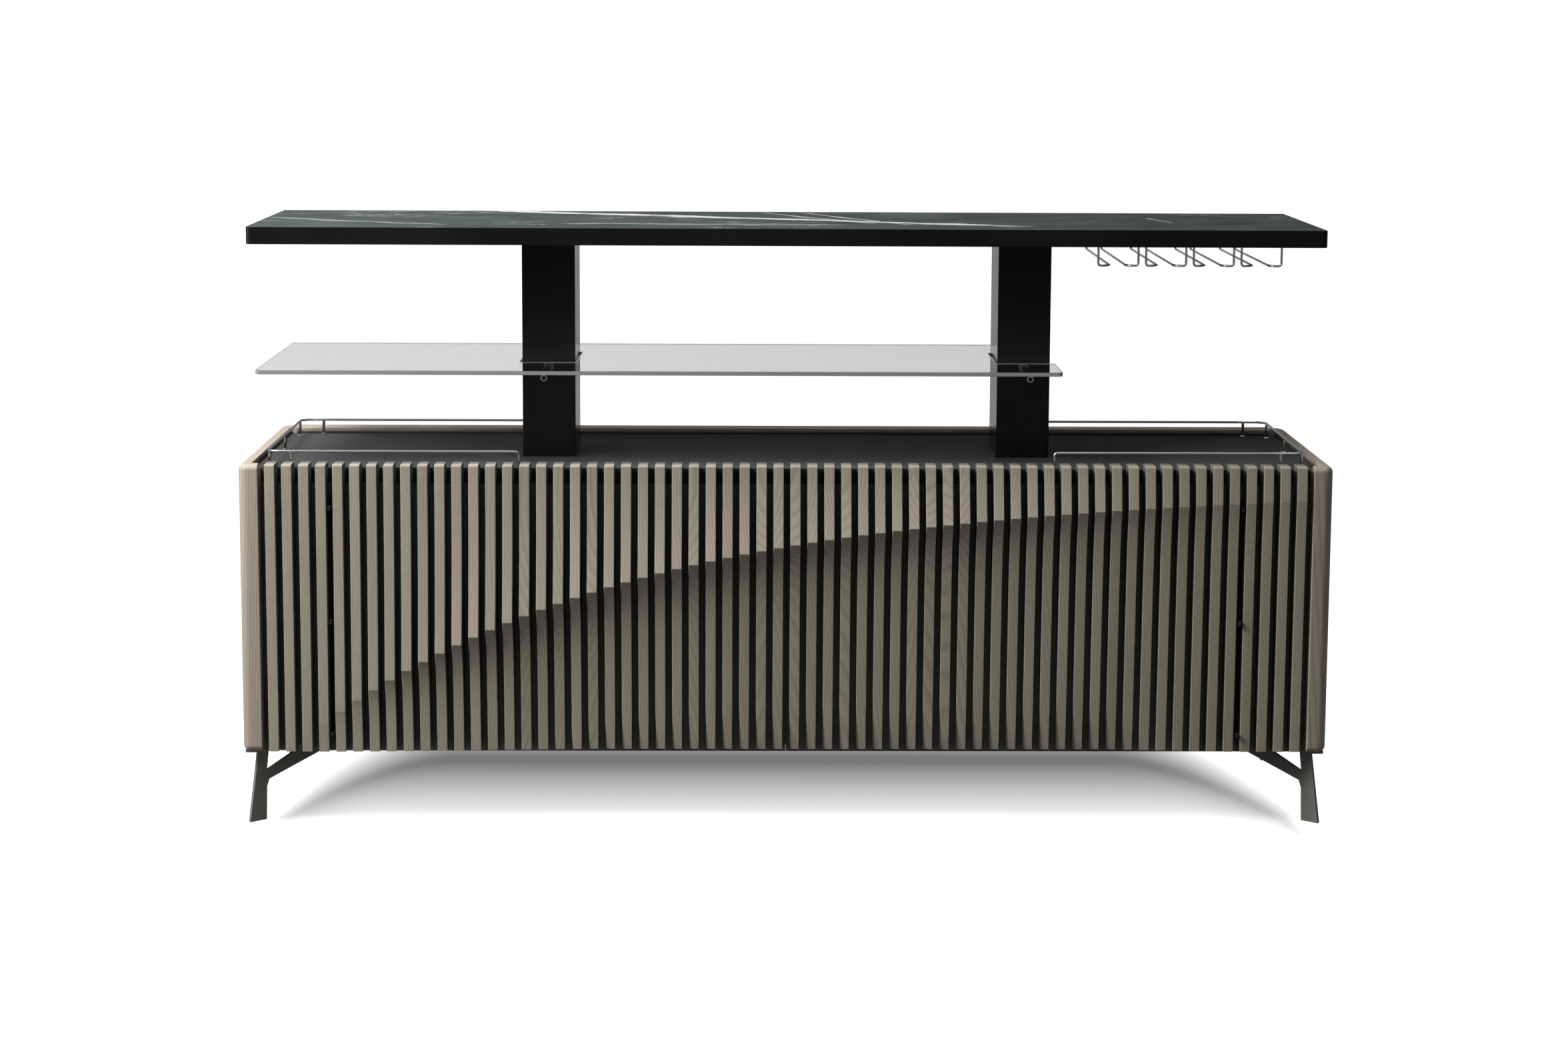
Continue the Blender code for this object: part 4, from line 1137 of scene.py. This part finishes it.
def model_gallery(settings):
    """The wire rail round each end of the tray, on its posts."""
    wires = settings.wires
    top = settings.top
    low = tray_high.z + touch
    high = tray_high.z + wires.rail_height
    near = tray_low.y + wires.rail_front_inset + wires.foot_radius
    far = rail_front - wires.rail_back_inset
    inner = (top.column_spacing + top.column_width) / 2 - wires.rail_radius
    outer = inner_half - wires.rail_side_inset
    corners = ((-inner, near, low), (-inner, near, high), (-outer, near, high),
               (-outer, far, high), (-inner, far, high), (-inner, far, low))
    bends = (wires.rail_bend, wires.rail_corner, wires.rail_corner, wires.rail_bend)
    parts = [draw_wire("rail", corners, bends, wires.rail_radius, wires.sides, wires.bend_steps)]
    run = outer - wires.post_offset
    edge = wires.foot_height * 0.25
    profile = ((0, wires.foot_radius), (wires.foot_height - edge, wires.foot_radius),
               (wires.foot_height, wires.foot_radius - edge),
               (wires.foot_height, wires.post_radius + edge),
               (wires.foot_height + edge, wires.post_radius),
               (high - wires.rail_radius + wires.post_bite - low, wires.post_radius))
    for x, y in ((run, near), (run, far), (outer, near + wires.side_post_offset),
                 (outer, (near + far) / 2), (outer, far - wires.side_post_offset)):
        parts.append(turn_part("post", (-x, y, low), (0, 0, 1), profile, sides=20))
    left = join_pieces("gallery_left", parts)
    right = mirror_piece(left, "gallery_right")
    for rail, label in ((left, "left"), (right, "right")):
        finish_piece(rail, "chrome", f"gallery_rail_{label}", degrees=40)


def model_rack(settings):
    """Four channels that hang glasses by their feet, each one bent wire."""
    wires = settings.wires
    bottom = counter_low.z
    near, far = front + wires.rack_front, front + wires.rack_back
    run = bottom - wires.rack_drop
    across = bottom - touch - wires.rack_radius
    corners = []
    for side in (-1, 1):
        outer = wires.rack_first + side * wires.rack_width / 2
        inner = wires.rack_first + side * wires.rack_slot / 2
        half = [(outer, near, bottom + wires.insert), (outer, near, run), (inner, near, run),
                (inner, far, run), (inner, far, across)]
        corners += half if side < 0 else half[::-1]
    small, large = wires.small_bend, wires.large_bend
    bends = (small, large, small, small, small, small, large, small)
    first = draw_wire("channel_1", corners, bends, wires.rack_radius, wires.sides,
                      wires.bend_steps)
    channels = [first]
    for number in range(1, wires.rack_count):
        channel = copy_piece(first, f"channel_{number + 1}")
        shift_mesh(channel, (wires.rack_pitch * number, 0, 0))
        channels.append(channel)
    for number, channel in enumerate(channels, 1):
        finish_piece(channel, "chrome", f"stemware_channel_{number}", degrees=40)


def model_legs(settings):
    """The four Y legs, their blades and plates with eased edges."""
    for place in ("front_left", "front_right", "back_left", "back_right"):
        leg = eased_copy(f"leg_{place}", f"y_leg_{place}", settings.body.leg_edge)
        finish_piece(leg, "legs", f"leg_{place}")


# The studio. The floor's painted shadow has a dark core, a line under the back of the body. Its
# ends curve forward to the front feet, and get lighter and narrower. From the core on, and from
# the feet on, the floor fades to white. Metres, and shares of full brightness for each metre.
core_place = 0.23
core_width = 0.02
core_straight = 0.68
end_curve = 9.77
end_forward = 0.50
end_narrowing = 0.8
end_lift = 0.44
feet_edge = 0.985
fade_past_feet = 7.0
fade_rate = 1.83

# Gloss reflects more of the floor behind the sideboard than of the floor in front of it
floor_behind = 2.4

# The world's light low and high in the sky, and what gloss reflects of the room: more of it
# behind the sideboard, more at the left than at the right, and a bright ceiling
sky_low, sky_high = 0.42, 1.6
room_behind = 1.8
room_left, room_right = 1.5, 0.4
room_ceiling = 1.2


def distance_past(tree, value, edge):
    """How far a value is past an edge, or 0."""
    return calculate(tree, "MAXIMUM", calculate(tree, "SUBTRACT", value, edge), 0.0)


def square(tree, value):
    """A value times itself."""
    return calculate(tree, "MULTIPLY", value, value)


def seen_directly(tree, path):
    """1 for rays from the camera, also through glass."""
    return calculate(tree, "MAXIMUM", path.outputs["Is Camera Ray"],
                     path.outputs["Is Transmission Ray"])


def make_floor(studio):
    """A wide pale floor: a painted shadow under the sideboard, faint real shadows, white away from
    it.
    """
    bpy.ops.object.select_all(action="DESELECT")
    bpy.ops.mesh.primitive_plane_add(size=40, location=(0, 0, 0))
    floor = fresh_piece("studio_floor")
    tree, shader, place = new_material("pale_floor", 0.9, specular=0.0)
    path = add_node(tree, "ShaderNodeLightPath")
    seen = seen_directly(tree, path)
    pale = Vector(studio.floor)
    connect(tree, shader.inputs["Base Color"],
            mix_colors(tree, seen, opaque(pale * studio.floor_bounce),
                       opaque(pale * studio.floor_lit)))
    parts = add_node(tree, "ShaderNodeSeparateXYZ", {0: place})
    side = calculate(tree, "ABSOLUTE", parts.outputs["X"])
    end = calculate(tree, "MULTIPLY", square(tree, distance_past(tree, side, core_straight)),
                    end_curve)
    core = calculate(tree, "MULTIPLY_ADD", end, -end_forward, core_place)
    depth = calculate(tree, "ABSOLUTE", calculate(tree, "SUBTRACT", parts.outputs["Y"], core))
    depth = calculate(tree, "MULTIPLY", distance_past(tree, depth, core_width),
                      calculate(tree, "MULTIPLY_ADD", end, end_narrowing, 1.0))
    past = calculate(tree, "MULTIPLY", distance_past(tree, side, feet_edge), fade_past_feet)
    outside = calculate(tree, "SQRT", calculate(tree, "ADD", square(tree, depth),
                                                square(tree, past)))
    # Painted shadow: the floor's own glow is dimmest along the core and rises away from it
    painted_core_lift = calculate(tree, "MULTIPLY_ADD", end, end_lift, studio.painted_shadow_lift)
    lift = calculate(tree, "MINIMUM", 1.0,
                     calculate(tree, "MULTIPLY_ADD", outside, fade_rate, painted_core_lift))
    behind = ramp(tree, parts.outputs["Y"], -0.5, 0.3, studio.room,
                  studio.room * floor_behind)
    reflected = calculate(tree, "MULTIPLY", path.outputs["Is Glossy Ray"], behind)
    shown = calculate(tree, "MAXIMUM", seen, reflected)
    shader.inputs["Emission Color"].default_value = (1, 1, 1, 1)
    connect(tree, shader.inputs["Emission Strength"], calculate(tree, "MULTIPLY", shown, lift))
    floor.data.materials.append(finish_named("pale_floor"))


def make_world(studio):
    """Light from overhead, a white background, and a dim room in front for gloss to reflect."""
    world = bpy.data.worlds.new("white_studio")
    bpy.context.scene.world = world
    world.use_nodes = True
    tree = world.node_tree
    background = tree.nodes["Background"]
    background.inputs["Color"].default_value = (1, 1, 1, 1)
    path = add_node(tree, "ShaderNodeLightPath")
    seen = seen_directly(tree, path)
    toward = add_node(tree, "ShaderNodeSeparateXYZ",
                      {0: add_node(tree, "ShaderNodeTexCoord").outputs["Generated"]})
    sky = ramp(tree, toward.outputs["Z"], 0.0, 0.75, studio.ambient * sky_low,
               studio.ambient * sky_high)
    room = ramp(tree, toward.outputs["Y"], -0.25, 0.35, studio.room, studio.room * room_behind)
    room = calculate(tree, "MULTIPLY", room, ramp(tree, toward.outputs["X"], -0.30, 0.30,
                                                  room_left, room_right))
    room = calculate(tree, "ADD", room, ramp(tree, toward.outputs["Z"], 0.55, 0.85, 0.0,
                                             room_ceiling))
    reflected = path.outputs["Is Glossy Ray"]
    unseen = calculate(tree, "ADD", calculate(tree, "MULTIPLY", reflected, room),
                       calculate(tree, "MULTIPLY",
                                 calculate(tree, "SUBTRACT", 1.0, reflected), sky))
    unseen = calculate(tree, "MULTIPLY", calculate(tree, "SUBTRACT", 1.0, seen), unseen)
    connect(tree, background.inputs["Strength"], calculate(tree, "ADD", seen, unseen))


def add_lamp(name, place, target, size, power):
    """A soft area lamp aimed at a point."""
    lamp = bpy.data.lights.new(name, "AREA")
    lamp.shape = "RECTANGLE"
    lamp.size, lamp.size_y = size
    lamp.energy = power
    made = bpy.data.objects.new(name, lamp)
    bpy.context.scene.collection.objects.link(made)
    made.location = place
    made.rotation_euler = (Vector(target) - Vector(place)).to_track_quat("-Z", "Y").to_euler()
    made.visible_camera = False


def make_camera(studio):
    """The photograph's camera."""
    tilt, turn, roll = studio.camera_tilt, studio.camera_turn, studio.camera_roll
    ahead = Vector((math.sin(turn) * math.cos(tilt), math.cos(turn) * math.cos(tilt),
                    -math.sin(tilt)))
    right = Vector((math.cos(turn), -math.sin(turn), 0.0))
    down = ahead.cross(right)
    rolled = right * math.cos(roll) + down * math.sin(roll)
    up = right * math.sin(roll) - down * math.cos(roll)
    camera = bpy.data.cameras.new("photo_camera")
    camera.sensor_width = 36.0
    camera.lens = studio.camera_lens
    camera.shift_y = studio.camera_shift
    made = bpy.data.objects.new("photo_camera", camera)
    bpy.context.scene.collection.objects.link(made)
    axes = Matrix((rolled, up, -ahead)).transposed().to_4x4()
    made.matrix_world = Matrix.Translation(studio.camera_place) @ axes
    bpy.context.scene.camera = made


def make_stage(settings):
    """Floor, world, lamps, camera and colour management."""
    studio = settings.studio
    make_floor(studio)
    make_world(studio)
    # Each lamp's place, the point it is aimed at, its size and its power
    for name, place, target, size, power in (
            ("key_lamp", (-2.35, -1.2, 3.2), (-0.2, 0.0, 0.55), (1.5, 1.5), studio.key_power),
            ("side_lamp", (-2.6, -0.8, 1.3), (-0.9, -0.2, 0.45), (0.9, 0.9), studio.side_power),
            ("top_lamp", (0.0, -0.9, 3.4), (0.0, 0.0, 0.5), (3.4, 1.6), studio.top_power)):
        add_lamp(name, place, target, size, power)
    make_camera(studio)
    bpy.context.scene.view_settings.view_transform = "Standard"


# Operators

class BARSIDEBOARD_OT_finishes(bpy.types.Operator):
    """Make the wood, board, stone, glass and metal finishes"""

    bl_idname = "bar_sideboard.finishes"
    bl_label = "Finishes"
    bl_options = {"REGISTER", "UNDO"}

    def execute(self, context):
        make_finishes(context.scene.bar_sideboard)
        return {"FINISHED"}


class BARSIDEBOARD_OT_fronts(bpy.types.Operator):
    """Model the carved slats and their backing sheets"""

    bl_idname = "bar_sideboard.fronts"
    bl_label = "Slatted Fronts"
    bl_options = {"REGISTER", "UNDO"}

    def execute(self, context):
        model_fronts(context.scene.bar_sideboard)
        return {"FINISHED"}


class BARSIDEBOARD_OT_body(bpy.types.Operator):
    """Model the side panels, back rim and boards"""

    bl_idname = "bar_sideboard.body"
    bl_label = "Body"
    bl_options = {"REGISTER", "UNDO"}

    def execute(self, context):
        model_body(context.scene.bar_sideboard)
        return {"FINISHED"}


class BARSIDEBOARD_OT_fittings(bpy.types.Operator):
    """Model the doors' boards, hinges and push latches"""

    bl_idname = "bar_sideboard.fittings"
    bl_label = "Door Fittings"
    bl_options = {"REGISTER", "UNDO"}

    def execute(self, context):
        model_fittings(context.scene.bar_sideboard)
        return {"FINISHED"}


class BARSIDEBOARD_OT_columns(bpy.types.Operator):
    """Model the columns with their plates and rods"""

    bl_idname = "bar_sideboard.columns"
    bl_label = "Columns"
    bl_options = {"REGISTER", "UNDO"}

    def execute(self, context):
        model_columns(context.scene.bar_sideboard)
        return {"FINISHED"}


class BARSIDEBOARD_OT_counter(bpy.types.Operator):
    """Model the counter's black core and stone slab"""

    bl_idname = "bar_sideboard.counter"
    bl_label = "Counter"
    bl_options = {"REGISTER", "UNDO"}

    def execute(self, context):
        model_counter(context.scene.bar_sideboard)
        return {"FINISHED"}


class BARSIDEBOARD_OT_glass(bpy.types.Operator):
    """Model the glass shelf and its turned arms"""

    bl_idname = "bar_sideboard.glass"
    bl_label = "Glass Shelf"
    bl_options = {"REGISTER", "UNDO"}

    def execute(self, context):
        model_glass(context.scene.bar_sideboard)
        return {"FINISHED"}


class BARSIDEBOARD_OT_gallery(bpy.types.Operator):
    """Model the gallery rails on the tray"""

    bl_idname = "bar_sideboard.gallery"
    bl_label = "Gallery Rails"
    bl_options = {"REGISTER", "UNDO"}

    def execute(self, context):
        model_gallery(context.scene.bar_sideboard)
        return {"FINISHED"}


class BARSIDEBOARD_OT_rack(bpy.types.Operator):
    """Model the stemware rack under the counter"""

    bl_idname = "bar_sideboard.rack"
    bl_label = "Stemware Rack"
    bl_options = {"REGISTER", "UNDO"}

    def execute(self, context):
        model_rack(context.scene.bar_sideboard)
        return {"FINISHED"}


class BARSIDEBOARD_OT_legs(bpy.types.Operator):
    """Model the Y legs"""

    bl_idname = "bar_sideboard.legs"
    bl_label = "Legs"
    bl_options = {"REGISTER", "UNDO"}

    def execute(self, context):
        model_legs(context.scene.bar_sideboard)
        return {"FINISHED"}


class BARSIDEBOARD_OT_stage(bpy.types.Operator):
    """Set up the floor, lamps, background and camera"""

    bl_idname = "bar_sideboard.stage"
    bl_label = "Stage"
    bl_options = {"REGISTER", "UNDO"}

    def execute(self, context):
        make_stage(context.scene.bar_sideboard)
        return {"FINISHED"}


class BARSIDEBOARD_PT_panel(bpy.types.Panel):
    """The sideboard's settings and steps"""

    bl_label = "Bar Sideboard"
    bl_idname = "BARSIDEBOARD_PT_panel"
    bl_space_type = "VIEW_3D"
    bl_region_type = "UI"
    bl_category = "Bar Sideboard"

    def draw(self, context):
        settings = context.scene.bar_sideboard
        for group in ("fronts", "body", "top", "wires", "finishes", "studio"):
            box = self.layout.box()
            box.label(text=group.title())
            values = getattr(settings, group)
            for key in values.bl_rna.properties.keys():
                if key not in ("rna_type", "name"):
                    box.prop(values, key)
        for step in steps:
            self.layout.operator(step.bl_idname)


steps = (BARSIDEBOARD_OT_finishes, BARSIDEBOARD_OT_fronts, BARSIDEBOARD_OT_body,
         BARSIDEBOARD_OT_fittings, BARSIDEBOARD_OT_columns, BARSIDEBOARD_OT_counter,
         BARSIDEBOARD_OT_glass, BARSIDEBOARD_OT_gallery, BARSIDEBOARD_OT_rack,
         BARSIDEBOARD_OT_legs, BARSIDEBOARD_OT_stage)
classes = (SideboardFronts, SideboardBody, SideboardTop, SideboardWires, SideboardFinishes,
           SideboardStudio, SideboardSettings) + steps + (BARSIDEBOARD_PT_panel,)


def register():
    """Register the settings, the steps and the panel."""
    for kind in classes:
        bpy.utils.register_class(kind)
    bpy.types.Scene.bar_sideboard = PointerProperty(type=SideboardSettings)


def unregister():
    """Take the settings, the steps and the panel away again."""
    del bpy.types.Scene.bar_sideboard
    for kind in reversed(classes):
        bpy.utils.unregister_class(kind)


def main():
    """Run every step in order."""
    register()
    for step in steps:
        group, name = step.bl_idname.split(".")
        getattr(getattr(bpy.ops, group), name)()


if __name__ == "__main__":
    main()
